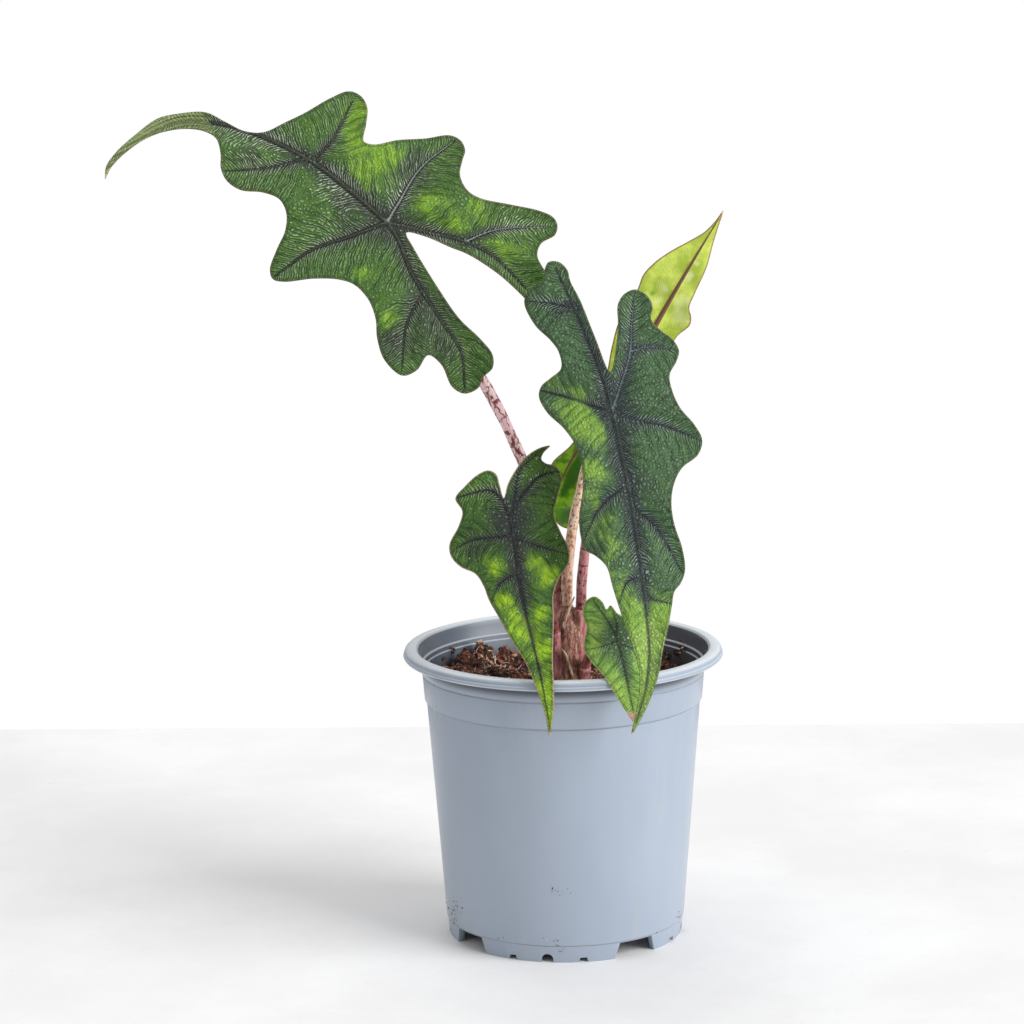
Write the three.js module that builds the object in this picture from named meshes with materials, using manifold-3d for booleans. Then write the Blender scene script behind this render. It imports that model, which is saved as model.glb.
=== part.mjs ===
// A potted jacklyn alocasia: a nursery pot with its soil, and a young plant with five leaves.
// Millimetres, +Z up, the front of the pot towards -Y.
import * as THREE from "three";
import { mergeVertices } from "three/addons/utils/BufferGeometryUtils.js";
import Module from "manifold-3d";

const wasm = await Module();
wasm.setup();

const GAP = 0.3; // clearance between two pieces that touch

// The pot
const POT_HEIGHT = 110;
const RIM_RADIUS = 60;
const FLOOR_Z = 8;
const FLOOR_THICKNESS = 1.5;
const FLOOR_RADIUS = 43.8;
const WALL_TOP_Z = 89.6;
const WALL_TOP_RADIUS = 50.2;
const POT_SIDES = 64;
const FOOT_COUNT = 4;
const FOOT_HEIGHT = 6.2;
const FOOT_OUTER_RADIUS = 44.2;
const FOOT_INNER_RADIUS = 41.7;
const FOOT_TURN = -9.7; // degrees from the front to the middle of the front foot
const FOOT_GAP_WIDTH = 14.6;
const FOOT_GAP_FLARE = 1.9;
const ARCH_WIDTH = 4.5;
const ARCH_HEIGHT = 3.2;
const NOTCH_WIDTH = 3.4;
const NOTCH_HEIGHT = 1.7;
const NOTCH_TURN = 17.4;
const DRAIN_RADIUS = 4.5;
const DRAIN_CIRCLE = 37;

// The soil
const SOIL_LEVEL = 94;
const SOIL_SIDES = 48;
const SOIL_RINGS = 15;
const SOIL_LUMPS = [
  { x: -29, y: 35, size: 4.5, height: 8.5 },
  { x: -36, y: 27, size: 4.5, height: 6 },
  { x: -21.5, y: 38, size: 4, height: 6.5 },
  { x: -12, y: 40, size: 5, height: 4.5 },
  { x: -42, y: 14, size: 8, height: 4 },
  { x: -33, y: 3, size: 7, height: 2.5 },
  { x: -24, y: 14, size: 6, height: 2.5 },
  { x: 38, y: 25, size: 5, height: 4 },
  { x: 27, y: 35, size: 6, height: 3 },
  { x: 44, y: 12, size: 4.5, height: 3.5 },
  { x: 22, y: 8, size: 7, height: 2 },
  { x: -22, y: -26, size: 6, height: 3 },
  { x: 12, y: -36, size: 6, height: 2.5 },
  { x: 36, y: -22, size: 5, height: 2.5 },
];

// The crown that the stalks grow from
const CROWN = { x: 2.2, y: -1.4, narrow: 0.88 };
const CROWN_PROFILE = [
  [0, 78],
  [4.5, 78.8],
  [7.4, 82],
  [8.6, 87],
  [8.8, 93],
  [8.5, 100],
  [8, 108],
  [7.4, 115],
  [6.2, 120.5],
  [4, 124],
  [0, 125.5],
];
const STALK_SIDES = 10;
const STALK_STEP = 7;
const SHEATH_WALL = 0.9; // how far a sheath stands out from its stalk at the foot, and at its lip
const SHEATH_LIP = 0.45;

// The blades
const BLADE_THICKNESS = 0.8;
const RIDGE_HEIGHT = 1.3;
const GROOVE_DEPTH = 0.35;
const RIDGE_HALF_WIDTH = 1.4;
const QUILT_REACH = 7; // how far from a vein the blade has risen to its full bulge
const EDGE_STEP = 3.4;
const VEIN_STEP = 3.2;
const LATTICE_STEP = 5.4;

// Outlines, veins and stalks are drawn in millimetres on the upright plane through the pot's axis, as
// they look from this point, and every point is then moved along its line of sight to its own depth.
const EYE = new THREE.Vector3(-18.5, -1275, 405);

// The upper side of a blade faces the viewer where face is 1, and away where it is -1. Its depth at the
// junction is changed by slope (per mm right and up), by lean and curl towards the tip, by lean_back
// on the lobes behind the junction, by fold on both sides of the midrib, and by humps (x, z, size, depth).
const LEAVES = [
  {
    name: "top_leaf",
    bladeColour: 0x2e5a2a,
    stalkColour: 0xc98f86,
    face: 1,
    junction: [-63, 270],
    tip: [-166, 287],
    depth: 8,
    slope: [0, 0.42],
    lean: 0,
    curl: -0.0006,
    leanBack: 0.14,
    fold: 0.1,
    quilt: 2.2,
    humps: [
      [-75, 312, 9, 3],
      [-45, 298, 9, 3],
      [-97, 252, 10, -2],
      [-34, 210, 10, 3],
      [-57, 216, 9, -3],
      [-8, 268, 9, 3],
      [-140, 306, 9, 4],
      [-165, 290, 8, -5],
    ],
    sheathTop: 127,
    stalk: [
      [-1.2, 97, 4.5, 2.3],
      [-1, 117.5, 4.5, 2.3],
      [-2.5, 144.5, 4.8, 2.2],
      [-9.5, 167.5, 5, 2.1],
      [-20.5, 194.5, 5.5, 2.1],
      [-35, 222.5, 7.5, 2],
      [-49.5, 246.5, 10, 1.9],
      [-57.5, 261, 10.5, 1.8],
    ],
    edge: [
      [-56, 266],
      [-49, 264.5],
      [-40, 260.5],
      [-33, 257.5],
      [-22, 250],
      [-14.5, 243],
      [-9.5, 238],
      [-4.5, 236.5],
      [-1.5, 241],
      [-4, 249],
      [-8, 257],
      [-6.5, 261.5],
      [-1.5, 264.5],
      [-0.5, 268],
      [-2, 271],
      [-7, 273.5],
      [-18, 276],
      [-29, 278.5],
      [-33.5, 281.5],
      [-36, 287],
      [-35, 292.5],
      [-34, 296],
      [-35.5, 299.5],
      [-39.5, 301.5],
      [-48.5, 300.5],
      [-58.5, 300],
      [-67.5, 298.5],
      [-71, 299.8],
      [-70, 306],
      [-69.5, 312],
      [-71.5, 316],
      [-76, 318],
      [-83, 315.5],
      [-92, 310.5],
      [-99.5, 307],
      [-107.5, 303.5],
      [-114.5, 304],
      [-121.5, 307.5],
      [-128.5, 311],
      [-138, 310.7],
      [-146, 309],
      [-154, 303.5],
      [-161.5, 297],
      [-165.5, 291.5],
      [-166, 287],
      [-163.5, 291.5],
      [-156, 298.3],
      [-148, 302.8],
      [-138, 305],
      [-130, 304.3],
      [-125, 301.5],
      [-123.5, 296],
      [-123.5, 290.5],
      [-121.5, 286],
      [-116.5, 282.5],
      [-108.5, 281.5],
      [-102.5, 279],
      [-100, 274],
      [-100.5, 267.5],
      [-104, 260],
      [-106.5, 253],
      [-105.5, 249.5],
      [-101.5, 248.5],
      [-90.5, 249.5],
      [-81, 249],
      [-75.5, 247],
      [-70.5, 241.5],
      [-68, 234.5],
      [-67.5, 227],
      [-65, 219],
      [-58.5, 213],
      [-53, 215],
      [-48.8, 220.5],
      [-44, 217],
      [-40, 208.5],
      [-35.5, 206],
      [-30.5, 208],
      [-28.5, 212],
      [-25, 215.5],
      [-25, 220.5],
      [-29.5, 226.5],
      [-37, 234],
      [-45, 246],
      [-53.5, 260.5],
    ],
    veins: [
      [[-63, 270], [-76.5, 282], [-90, 292.5], [-107, 301.5], [-122.5, 306.5], [-138, 307.8], [-158, 299]],
      [[-63, 270], [-59, 276.5], [-50.5, 289.5], [-38.5, 299]],
      [[-63, 270], [-47.5, 266], [-34.5, 262.5], [-23.5, 256.5], [-13, 245.5]],
      [[-63, 270], [-59, 263.5], [-54, 250.5], [-42.5, 231.5], [-36.5, 221.5], [-35.5, 209]],
      [[-63, 270], [-76.5, 265], [-91, 260], [-104, 251]],
      [[-90, 292.5], [-82, 301], [-75, 314]],
      [[-92.5, 293.5], [-105.5, 290.5], [-121, 289.5]],
      [[-34.5, 262.5], [-23.5, 266.5], [-4, 267.5]],
      [[-51, 242.5], [-56.5, 232], [-58.5, 216]],
    ],
  },
  {
    name: "right_leaf",
    bladeColour: 0x2a5230,
    stalkColour: 0xc08a84,
    face: 1,
    junction: [19, 199],
    tip: [25.5, 75],
    depth: -28,
    slope: [0, 0],
    lean: 0.55,
    curl: 0.0013,
    leanBack: 0.3,
    fold: 0.12,
    quilt: 2.4,
    humps: [
      [-8, 206, 9, 2],
      [50, 187, 10, 3],
      [-4, 250, 10, -3],
      [42, 222, 9, 4],
      [28, 242, 9, -2],
      [8, 150, 9, 2],
      [45, 138, 9, 3],
      [27, 84, 10, 3],
    ],
    sheathTop: 126,
    stalk: [
      [6.4, 97, -3, 2.7],
      [5.6, 108, -3.5, 2.7],
      [6.8, 124, -5.5, 2],
      [8.5, 146.5, -10, 1.8],
      [12, 169, -16.5, 1.7],
      [16.5, 189, -23, 1.6],
    ],
    edge: [
      [18.5, 213.5],
      [20.5, 221.5],
      [21.5, 231],
      [21.5, 238.5],
      [24, 242.5],
      [28, 244],
      [32.5, 241.5],
      [34.3, 237.5],
      [33.7, 233],
      [37, 229],
      [41.5, 225.5],
      [44, 221],
      [43, 217],
      [40.5, 212],
      [41.5, 206],
      [44.5, 199.5],
      [49.5, 193.5],
      [52.5, 187.5],
      [51, 182],
      [45, 177],
      [42, 171],
      [41, 164],
      [42, 156],
      [45, 146.5],
      [46, 138],
      [44.3, 133],
      [42, 130],
      [41, 124.5],
      [39.5, 115.5],
      [37.5, 107],
      [36.5, 100.5],
      [33.5, 90.5],
      [29, 80.5],
      [25.5, 75],
      [27, 82],
      [28.5, 90.5],
      [28.5, 100],
      [26, 109.5],
      [22, 121.5],
      [19, 131.5],
      [16.5, 140],
      [12.5, 144],
      [8.5, 146.5],
      [7, 151.5],
      [6.5, 158.5],
      [8, 171],
      [6.5, 183.5],
      [1.5, 192],
      [-5, 198.5],
      [-8, 204.5],
      [-7, 208.5],
      [-3.5, 211.5],
      [0.3, 215],
      [-0.5, 221],
      [-3.5, 225.5],
      [-9, 231],
      [-13, 239.5],
      [-11.3, 244.5],
      [-6.3, 247.5],
      [-5.5, 251.5],
      [-4, 254.5],
      [0, 254.5],
      [3, 251.5],
      [4, 247.5],
      [7.5, 240.5],
      [13, 226.5],
    ],
    veins: [
      [[19, 199], [21.5, 186], [25, 169], [28.5, 146], [31.5, 122], [32.5, 105.5], [31, 92], [27.5, 80]],
      [[19, 199], [16, 210.5], [12, 221.5], [5, 238.5], [-1, 251.5]],
      [[19, 199], [21.5, 206], [25.5, 219], [26.5, 231], [27.5, 241]],
      [[19, 199], [14.5, 200], [6.5, 203], [-6, 206.5]],
      [[19, 199], [24, 196], [38.5, 193], [50, 188]],
      [[25, 171], [17, 165], [13, 160], [8.5, 150]],
      [[26.5, 162], [35, 155], [44.5, 138]],
      [[5.5, 237.5], [-3.5, 239.5], [-11, 240]],
      [[26, 221], [32.5, 222.5], [42, 221.5]],
      [[30.5, 136], [24.5, 134], [21.5, 126]],
      [[32, 127.5], [40, 125.5]],
    ],
  },
  {
    name: "left_leaf",
    bladeColour: 0x2f5c2a,
    stalkColour: 0xb98378,
    face: 1,
    junction: [-19, 158],
    tip: [-5.5, 74.5],
    depth: -31,
    slope: [0, 0],
    lean: 0.62,
    curl: 0.0022,
    leanBack: 0.35,
    fold: 0.22,
    quilt: 1.5,
    humps: [
      [-40, 148, 9, 4],
      [-36, 170, 7, -2],
      [-6, 182, 7, 3],
      [1, 145, 8, 3],
      [-5, 85, 9, 2],
    ],
    sheathTop: 117,
    stalk: [
      [-2.3, 97, -5, 2.2],
      [-2.2, 108, -6, 2],
      [-5.5, 127.5, -13, 1.6],
      [-11, 143, -21, 1.4],
      [-16, 153, -26, 1.3],
    ],
    edge: [
      [-21.5, 166.5],
      [-20, 171.5],
      [-17, 177],
      [-13, 182],
      [-8, 185.2],
      [-4, 186],
      [-6.5, 183.3],
      [-7.3, 180.8],
      [-5.5, 179.3],
      [-2, 178.3],
      [0.3, 174],
      [-1.3, 167],
      [-2.8, 160],
      [-0.5, 153.5],
      [2.5, 147],
      [2.5, 141.5],
      [-1, 136],
      [-3.3, 129.5],
      [-3.3, 120.5],
      [-3.8, 104.5],
      [-3.5, 90.5],
      [-4, 82],
      [-5.5, 74.5],
      [-6.7, 82],
      [-9, 90],
      [-14, 103],
      [-19, 111.5],
      [-24, 121],
      [-27.5, 127.5],
      [-29.5, 133],
      [-32.5, 137.7],
      [-38, 140.5],
      [-41.5, 144.5],
      [-42, 149],
      [-38.5, 156],
      [-37, 161.5],
      [-39.5, 166.5],
      [-36, 171],
      [-31, 175.5],
      [-27, 177],
      [-24.2, 175.5],
      [-23, 171.5],
    ],
    veins: [
      [[-19, 158], [-18, 152.5], [-16, 135], [-14, 123.5], [-11, 110], [-8.5, 98.5], [-5.8, 82]],
      [[-19, 158], [-17, 164], [-14.5, 167.5], [-8, 174.5], [-1.5, 176]],
      [[-19, 158], [-22.5, 166], [-26.5, 169.5], [-38, 167]],
      [[-18, 152.5], [-23, 151.5], [-33.5, 150.5], [-40.5, 146.5]],
      [[-18, 151.5], [-8, 147.5], [1, 145]],
      [[-16.3, 138], [-23.5, 133.5], [-26, 128]],
      [[-18, 161], [-17, 170], [-15.3, 177], [-9, 183]],
    ],
  },
  {
    name: "low_leaf",
    bladeColour: 0x3b6b33,
    stalkColour: 0xa87068,
    face: 1,
    junction: [20.5, 113],
    tip: [27, 79.5],
    depth: -49,
    slope: [0, 0],
    lean: 0.62,
    curl: 0.006,
    leanBack: 0.35,
    fold: 0.12,
    quilt: 0.9,
    humps: [
      [9, 115, 6, 2.5],
      [31, 106, 6, 3],
    ],
    sheathTop: 104,
    stalk: [
      [6.5, 97, -6, 2],
      [8.9, 103.5, -10.5, 1.8],
      [10.7, 107.5, -18, 1.5],
      [13.5, 110.5, -29, 1.3],
      [17.5, 112.3, -42, 1.2],
    ],
    edge: [
      [16.5, 123.5],
      [18, 125],
      [20.5, 122],
      [24, 119.5],
      [27.5, 116],
      [30, 111],
      [31.3, 104.5],
      [31, 96],
      [29, 87],
      [27, 79.5],
      [23.5, 84],
      [19.5, 90.5],
      [15.5, 97.5],
      [10.5, 103.5],
      [8, 108],
      [8.2, 112.5],
      [9, 116.5],
      [7.6, 121.5],
      [8.5, 126.3],
      [12, 128.5],
      [15, 126.3],
    ],
    veins: [
      [[20.5, 113], [22.5, 104], [24.5, 94], [26.3, 84]],
      [[20.5, 113], [16.5, 120], [12, 126.5]],
      [[20.5, 111.5], [16, 109.3], [9.5, 108]],
      [[20.5, 113], [20.5, 117.5], [19, 122]],
      [[21, 110.5], [24.5, 109], [30, 106]],
    ],
  },
  {
    name: "young_leaf",
    bladeColour: 0x86a838,
    stalkColour: 0xc9a183,
    face: -1,
    junction: [19, 203],
    tip: [60.5, 273],
    depth: 12,
    slope: [0, 0],
    lean: 0.1,
    curl: 0.0008,
    leanBack: 0.3,
    fold: -0.25,
    quilt: 1.3,
    humps: [
      [0, 165, 8, 3],
      [45, 232, 8, 3],
    ],
    sheathTop: 126,
    stalk: [
      [1.7, 97, -0.5, 2.2],
      [1.5, 112, -0.5, 2.1],
      [2, 137, 0.5, 2],
      [4.5, 158, 2.5, 1.9],
      [6.5, 167, 3.5, 1.6],
      [8.5, 177.5, 5, 1.2],
      [13, 191.5, 7.5, 1.1],
    ],
    edge: [
      [60.5, 273],
      [57.5, 269],
      [53.5, 265],
      [47.5, 261.5],
      [41, 258],
      [35, 253.8],
      [31, 249.5],
      [28.5, 243.5],
      [22.5, 234],
      [19.3, 223.5],
      [16.5, 210.5],
      [9.5, 195],
      [3.5, 186],
      [-3, 180],
      [-5, 175.5],
      [-3.5, 168.5],
      [-3.5, 160.5],
      [-1, 156],
      [4, 154.5],
      [8, 159.5],
      [10.5, 176.5],
      [15, 191],
      [18.5, 200],
      [21.5, 193.5],
      [27, 184],
      [32, 180],
      [36, 184.5],
      [36.5, 193.5],
      [38, 206.5],
      [40, 218.5],
      [43, 226],
      [48, 230.5],
      [48.5, 233.5],
      [47.8, 237],
      [50, 242.5],
      [54.3, 252],
      [56.5, 260],
      [58.5, 266.5],
    ],
    veins: [
      [[19, 203], [26.5, 214], [36, 232], [47.5, 251.5], [58.5, 269.5]],
      [[19, 203], [12.5, 193.5], [4, 179], [1, 160]],
      [[19, 203], [25.5, 193.5], [32.5, 184]],
      [[31.5, 223.5], [39, 229], [46.5, 232]],
      [[26.5, 214], [20.5, 217]],
    ],
  },
];

// A closed geometry as a solid for cutting and joining.
function solidOf(geometry) {
  const bare = geometry.clone();
  for (const attribute of ["normal", "uv"]) bare.deleteAttribute(attribute);
  const merged = mergeVertices(bare, 1e-4);
  return new wasm.Manifold(
    new wasm.Mesh({
      numProp: 3,
      vertProperties: new Float32Array(merged.attributes.position.array),
      triVerts: new Uint32Array(merged.index.array),
    }),
  );
}

// The largest body of a solid as a geometry: a loose scrap that a cut leaves is dropped.
function geometryOf(solid) {
  const bodies = solid.decompose().sort((a, b) => b.volume() - a.volume());
  const mesh = bodies[0].getMesh();
  const geometry = new THREE.BufferGeometry();
  geometry.setAttribute("position", new THREE.BufferAttribute(mesh.vertProperties, 3));
  geometry.setIndex(new THREE.BufferAttribute(mesh.triVerts, 1));
  geometry.computeVertexNormals();
  return geometry;
}

function piece(name, geometry, colour, roughness) {
  const material = new THREE.MeshStandardMaterial({ color: colour, roughness, metalness: 0 });
  const mesh = new THREE.Mesh(geometry, material);
  mesh.name = name;
  return mesh;
}

// A profile of [radius, height] pairs turned about the upright axis.
function turned(profile, sides) {
  const points = profile.map(([radius, z]) => new THREE.Vector2(radius, z));
  return new THREE.LatheGeometry(points, sides).rotateX(Math.PI / 2);
}

// A shape in the upright plane (width, height), pushed through the foot skirt at an angle from the front.
function skirtCutter(shape, turn) {
  const depth = 10;
  const cutter = new THREE.ExtrudeGeometry(shape, { depth, bevelEnabled: false, curveSegments: 5 });
  cutter.rotateX(Math.PI / 2);
  cutter.translate(0, -(FOOT_INNER_RADIUS - depth / 2), 0);
  cutter.rotateZ(THREE.MathUtils.degToRad(turn));
  return solidOf(cutter);
}

function trapezoid(topWidth, bottomWidth, height) {
  return new THREE.Shape([
    new THREE.Vector2(-bottomWidth / 2, -1),
    new THREE.Vector2(bottomWidth / 2, -1),
    new THREE.Vector2(topWidth / 2, height),
    new THREE.Vector2(-topWidth / 2, height),
  ]);
}

function arch(width, height) {
  const shape = new THREE.Shape();
  const radius = width / 2;
  shape.moveTo(-radius, -1);
  shape.lineTo(radius, -1);
  shape.lineTo(radius, height - radius);
  shape.absarc(0, height - radius, radius, 0, Math.PI);
  shape.lineTo(-radius, -1);
  return shape;
}

function pot() {
  const profile = [
    [0, FLOOR_Z],
    [FLOOR_RADIUS - 1, FLOOR_Z],
    [FLOOR_RADIUS, FLOOR_Z + 1],
    [WALL_TOP_RADIUS, WALL_TOP_Z],
    [51.2, 91],
    [52, 102.6],
    [53.5, 104.2],
    [54.1, 107.8],
    [54.5, 109.2],
    [55.4, POT_HEIGHT - 0.1],
    [57.6, POT_HEIGHT],
    [59.3, 109.3],
    [RIM_RADIUS, 107.9],
    [59.4, 106.7],
    [57.6, 106.1],
    [54.9, 105.3],
    [53.9, 103.5],
    [53.2, 100.8],
    [52.9, 100.3],
    [52.1, 90.6],
    [51.4, 89.7],
    [45.1, FOOT_HEIGHT + 0.3],
    [44.8, FOOT_HEIGHT],
    [FOOT_OUTER_RADIUS, 0],
    [FOOT_INNER_RADIUS, 0],
    [FOOT_INNER_RADIUS + 0.3, FLOOR_Z - FLOOR_THICKNESS],
    [0, FLOOR_Z - FLOOR_THICKNESS],
  ];
  let body = solidOf(turned(profile.reverse(), POT_SIDES));
  const footStep = 360 / FOOT_COUNT;
  for (let foot = 0; foot < FOOT_COUNT; foot++) {
    const middle = FOOT_TURN + foot * footStep;
    const gap = trapezoid(FOOT_GAP_WIDTH, FOOT_GAP_WIDTH + 2 * FOOT_GAP_FLARE, FOOT_HEIGHT - 0.2);
    body = body.subtract(skirtCutter(gap, middle + footStep / 2));
    body = body.subtract(skirtCutter(arch(ARCH_WIDTH, ARCH_HEIGHT), middle));
    for (const side of [-1, 1]) {
      const notch = trapezoid(NOTCH_WIDTH * 0.75, NOTCH_WIDTH, NOTCH_HEIGHT);
      body = body.subtract(skirtCutter(notch, middle + side * NOTCH_TURN));
    }
    const drain = new THREE.CylinderGeometry(DRAIN_RADIUS, DRAIN_RADIUS, 6, 16).rotateX(Math.PI / 2);
    drain.translate(0, -DRAIN_CIRCLE, FLOOR_Z - FLOOR_THICKNESS / 2);
    drain.rotateZ(THREE.MathUtils.degToRad(middle + footStep / 2));
    body = body.subtract(solidOf(drain));
  }
  return piece("pot", geometryOf(body), 0xabb4c3, 0.5);
}

// How far the soil stands above its mean level at a place.
function soilRelief(x, y) {
  let height = 0.9 * Math.sin(0.31 * x + 0.8) * Math.cos(0.27 * y) + 0.6 * Math.sin(0.55 * x - 0.47 * y);
  for (const lump of SOIL_LUMPS) {
    const reach = ((x - lump.x) ** 2 + (y - lump.y) ** 2) / lump.size ** 2;
    height += lump.height * Math.exp(-reach);
  }
  return height;
}

// The crown with some clearance added all round. Its hole in the soil keeps its full width to the top.
function crownSolid(clearance, open) {
  const middle = CROWN_PROFILE[4][0];
  const profile = CROWN_PROFILE.map(([radius, z], i) => {
    const wide = open && z > SOIL_LEVEL ? middle : radius;
    const place = i === 0 ? z - clearance : z + (open && z > SOIL_LEVEL ? 10 : 0);
    return [radius === 0 ? 0 : wide + clearance, place];
  });
  const crown = turned(profile, 20);
  crown.scale(CROWN.narrow, 1, 1);
  crown.translate(CROWN.x, CROWN.y, 0);
  return solidOf(crown);
}

function soil() {
  const wallSlope = (WALL_TOP_RADIUS - FLOOR_RADIUS) / (WALL_TOP_Z - FLOOR_Z - 1);
  const bottom = FLOOR_Z + GAP;
  const wallRadius = (z) => FLOOR_RADIUS + (z - FLOOR_Z - 1) * wallSlope - GAP - 0.1;
  const profile = [
    [0, bottom],
    [FLOOR_RADIUS - 1.5, bottom],
    [wallRadius(bottom + 2), bottom + 2],
    [wallRadius(WALL_TOP_Z), WALL_TOP_Z],
  ];
  const edge = wallRadius(SOIL_LEVEL - 2);
  for (let ring = SOIL_RINGS; ring >= 0; ring--) profile.push([(edge * ring) / SOIL_RINGS, SOIL_LEVEL]);
  const ground = turned(profile, SOIL_SIDES);
  const place = ground.attributes.position;
  for (let i = 0; i < place.count; i++) {
    if (place.getZ(i) > SOIL_LEVEL - 1) {
      place.setZ(i, SOIL_LEVEL + soilRelief(place.getX(i), place.getY(i)));
    }
  }
  const body = solidOf(ground).subtract(crownSolid(GAP, true));
  return piece("potting_soil", geometryOf(body), 0x3a2519, 0.95);
}

// The point drawn at (x, z) moved along its line of sight to the depth y.
function seen(x, z, y) {
  const scale = (y - EYE.y) / -EYE.y;
  return new THREE.Vector3(EYE.x + (x - EYE.x) * scale, y, EYE.z + (z - EYE.z) * scale);
}

// The nearest point of a polyline: its distance, and how far along the line it lies, from 0 to 1.
function nearest(line, x, z) {
  const found = { distance: Infinity, along: 0 };
  for (let i = 0; i + 1 < line.length; i++) {
    const [a, b] = [line[i], line[i + 1]];
    const [dx, dz] = [b[0] - a[0], b[1] - a[1]];
    const part = ((x - a[0]) * dx + (z - a[1]) * dz) / (dx * dx + dz * dz);
    const t = Math.min(1, Math.max(0, part));
    const distance = Math.hypot(x - a[0] - t * dx, z - a[1] - t * dz);
    if (distance < found.distance) Object.assign(found, { distance, along: (i + t) / (line.length - 1) });
  }
  return found;
}

// Evenly spaced points on a smooth line through the given ones.
function smoothLine(points, step, closed) {
  const corners = points.map(([x, z]) => new THREE.Vector3(x, 0, z));
  const curve = new THREE.CatmullRomCurve3(corners, closed, "centripetal");
  const count = Math.round(curve.getLength() / step);
  return curve.getSpacedPoints(Math.max(2, count)).map((p) => [p.x, p.z]);
}

function nearestVein(lines, x, z) {
  return lines.map((line) => nearest(line, x, z)).reduce((a, b) => (b.distance < a.distance ? b : a));
}

// The depth of a blade's middle surface, which sinks along its veins and bulges between them.
function bladeDepth(leaf, veinLines, x, z) {
  const [right, up] = [x - leaf.junction[0], z - leaf.junction[1]];
  const reach = Math.hypot(leaf.tip[0] - leaf.junction[0], leaf.tip[1] - leaf.junction[1]);
  const [axisX, axisZ] = [(leaf.tip[0] - leaf.junction[0]) / reach, (leaf.tip[1] - leaf.junction[1]) / reach];
  const along = right * axisX + up * axisZ;
  const across = right * axisZ - up * axisX;
  const soft = 8; // over this length the blade bends at the junction and at the midrib
  const forward = (along + Math.hypot(along, soft) - soft) / 2;
  const backward = along - forward;
  let depth = leaf.depth + leaf.slope[0] * right + leaf.slope[1] * up;
  depth += -leaf.lean * forward + leaf.curl * forward ** 2 - leaf.leanBack * backward;
  depth += leaf.fold * (Math.hypot(across, soft) - soft);
  for (const [humpX, humpZ, size, height] of leaf.humps) {
    depth += height * Math.exp(-((x - humpX) ** 2 + (z - humpZ) ** 2) / (2 * size * size));
  }
  const rise = 1 - Math.exp(-((nearestVein(veinLines, x, z).distance / QUILT_REACH) ** 2));
  return depth - leaf.face * leaf.quilt * rise;
}

function inside(loop, x, z) {
  let odd = false;
  for (let i = 0, j = loop.length - 1; i < loop.length; j = i++) {
    const [[ax, az], [bx, bz]] = [loop[i], loop[j]];
    if (az > z !== bz > z && x < ((bx - ax) * (z - az)) / (bz - az) + ax) odd = !odd;
  }
  return odd;
}

// A triangle of three points with its circumcircle.
function circled(points, a, b, c) {
  const [ax, az] = points[a];
  const [bx, bz] = [points[b][0] - ax, points[b][1] - az];
  const [cx, cz] = [points[c][0] - ax, points[c][1] - az];
  const twice = 2 * (bx * cz - bz * cx);
  const x = (cz * (bx * bx + bz * bz) - bz * (cx * cx + cz * cz)) / twice;
  const z = (bx * (cx * cx + cz * cz) - cx * (bx * bx + bz * bz)) / twice;
  return { corners: [a, b, c], x: ax + x, z: az + z, reach: x * x + z * z };
}

// Delaunay triangles of points in a plane, each counter-clockwise. Points are added one at a time.
function delaunay(points) {
  const far = 5000;
  const all = [...points, [-far, -far], [far, -far], [0, far]];
  const first = points.length;
  let triangles = [circled(all, first, first + 1, first + 2)];
  points.forEach(([x, z], added) => {
    const hole = new Map();
    triangles = triangles.filter((t) => {
      if ((x - t.x) ** 2 + (z - t.z) ** 2 >= t.reach) return true;
      t.corners.forEach((from, i) => {
        const to = t.corners[(i + 1) % 3];
        if (!hole.delete(to + " " + from)) hole.set(from + " " + to, [from, to]);
      });
      return false;
    });
    for (const [from, to] of hole.values()) triangles.push(circled(all, from, to, added));
  });
  return triangles.map((t) => t.corners).filter((corners) => corners.every((i) => i < first));
}

// The blade's outline filled with points along its edge, its veins and a lattice, and their triangles.
function bladeSheet(leaf) {
  const edge = smoothLine(leaf.edge, EDGE_STEP, true).slice(0, -1);
  const loop = [...edge, edge[0]];
  const veinLines = leaf.veins.map((vein) => smoothLine(vein, VEIN_STEP, false));
  const points = [...edge];
  const add = (x, z, clearOfEdge, clearOfPoints) => {
    if (!inside(edge, x, z) || nearest(loop, x, z).distance < clearOfEdge) return;
    if (points.some(([px, pz]) => Math.hypot(px - x, pz - z) < clearOfPoints)) return;
    points.push([x, z]);
  };
  for (const line of veinLines) {
    for (const [x, z] of line) add(x, z, 1.3, 1.6);
  }
  for (const line of veinLines) {
    for (let i = 0; i + 1 < line.length; i++) {
      const [dx, dz] = [line[i + 1][0] - line[i][0], line[i + 1][1] - line[i][1]];
      const scale = RIDGE_HALF_WIDTH / Math.hypot(dx, dz);
      for (const side of [-1, 1]) {
        const [x, z] = [line[i][0] - side * dz * scale, line[i][1] + side * dx * scale];
        if (nearestVein(veinLines, x, z).distance > RIDGE_HALF_WIDTH * 0.8) add(x, z, 1.3, 1.2);
      }
    }
  }
  const xs = edge.map((p) => p[0]);
  const zs = edge.map((p) => p[1]);
  const rowHeight = LATTICE_STEP * Math.sqrt(0.75);
  for (let row = 0, z = Math.min(...zs); z < Math.max(...zs); row++, z += rowHeight) {
    for (let x = Math.min(...xs) + (row % 2) * (LATTICE_STEP / 2); x < Math.max(...xs); x += LATTICE_STEP) {
      add(x + 0.2 * Math.sin(3 * z), z + 0.2 * Math.cos(5 * x), 2.2, 2.6);
    }
  }
  const triangles = delaunay(points).filter((corners) => {
    const [a, b, c] = corners.map((i) => points[i]);
    return inside(edge, (a[0] + b[0] + c[0]) / 3, (a[1] + b[1] + c[1]) / 3);
  });
  return { points, triangles, veinLines };
}

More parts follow.
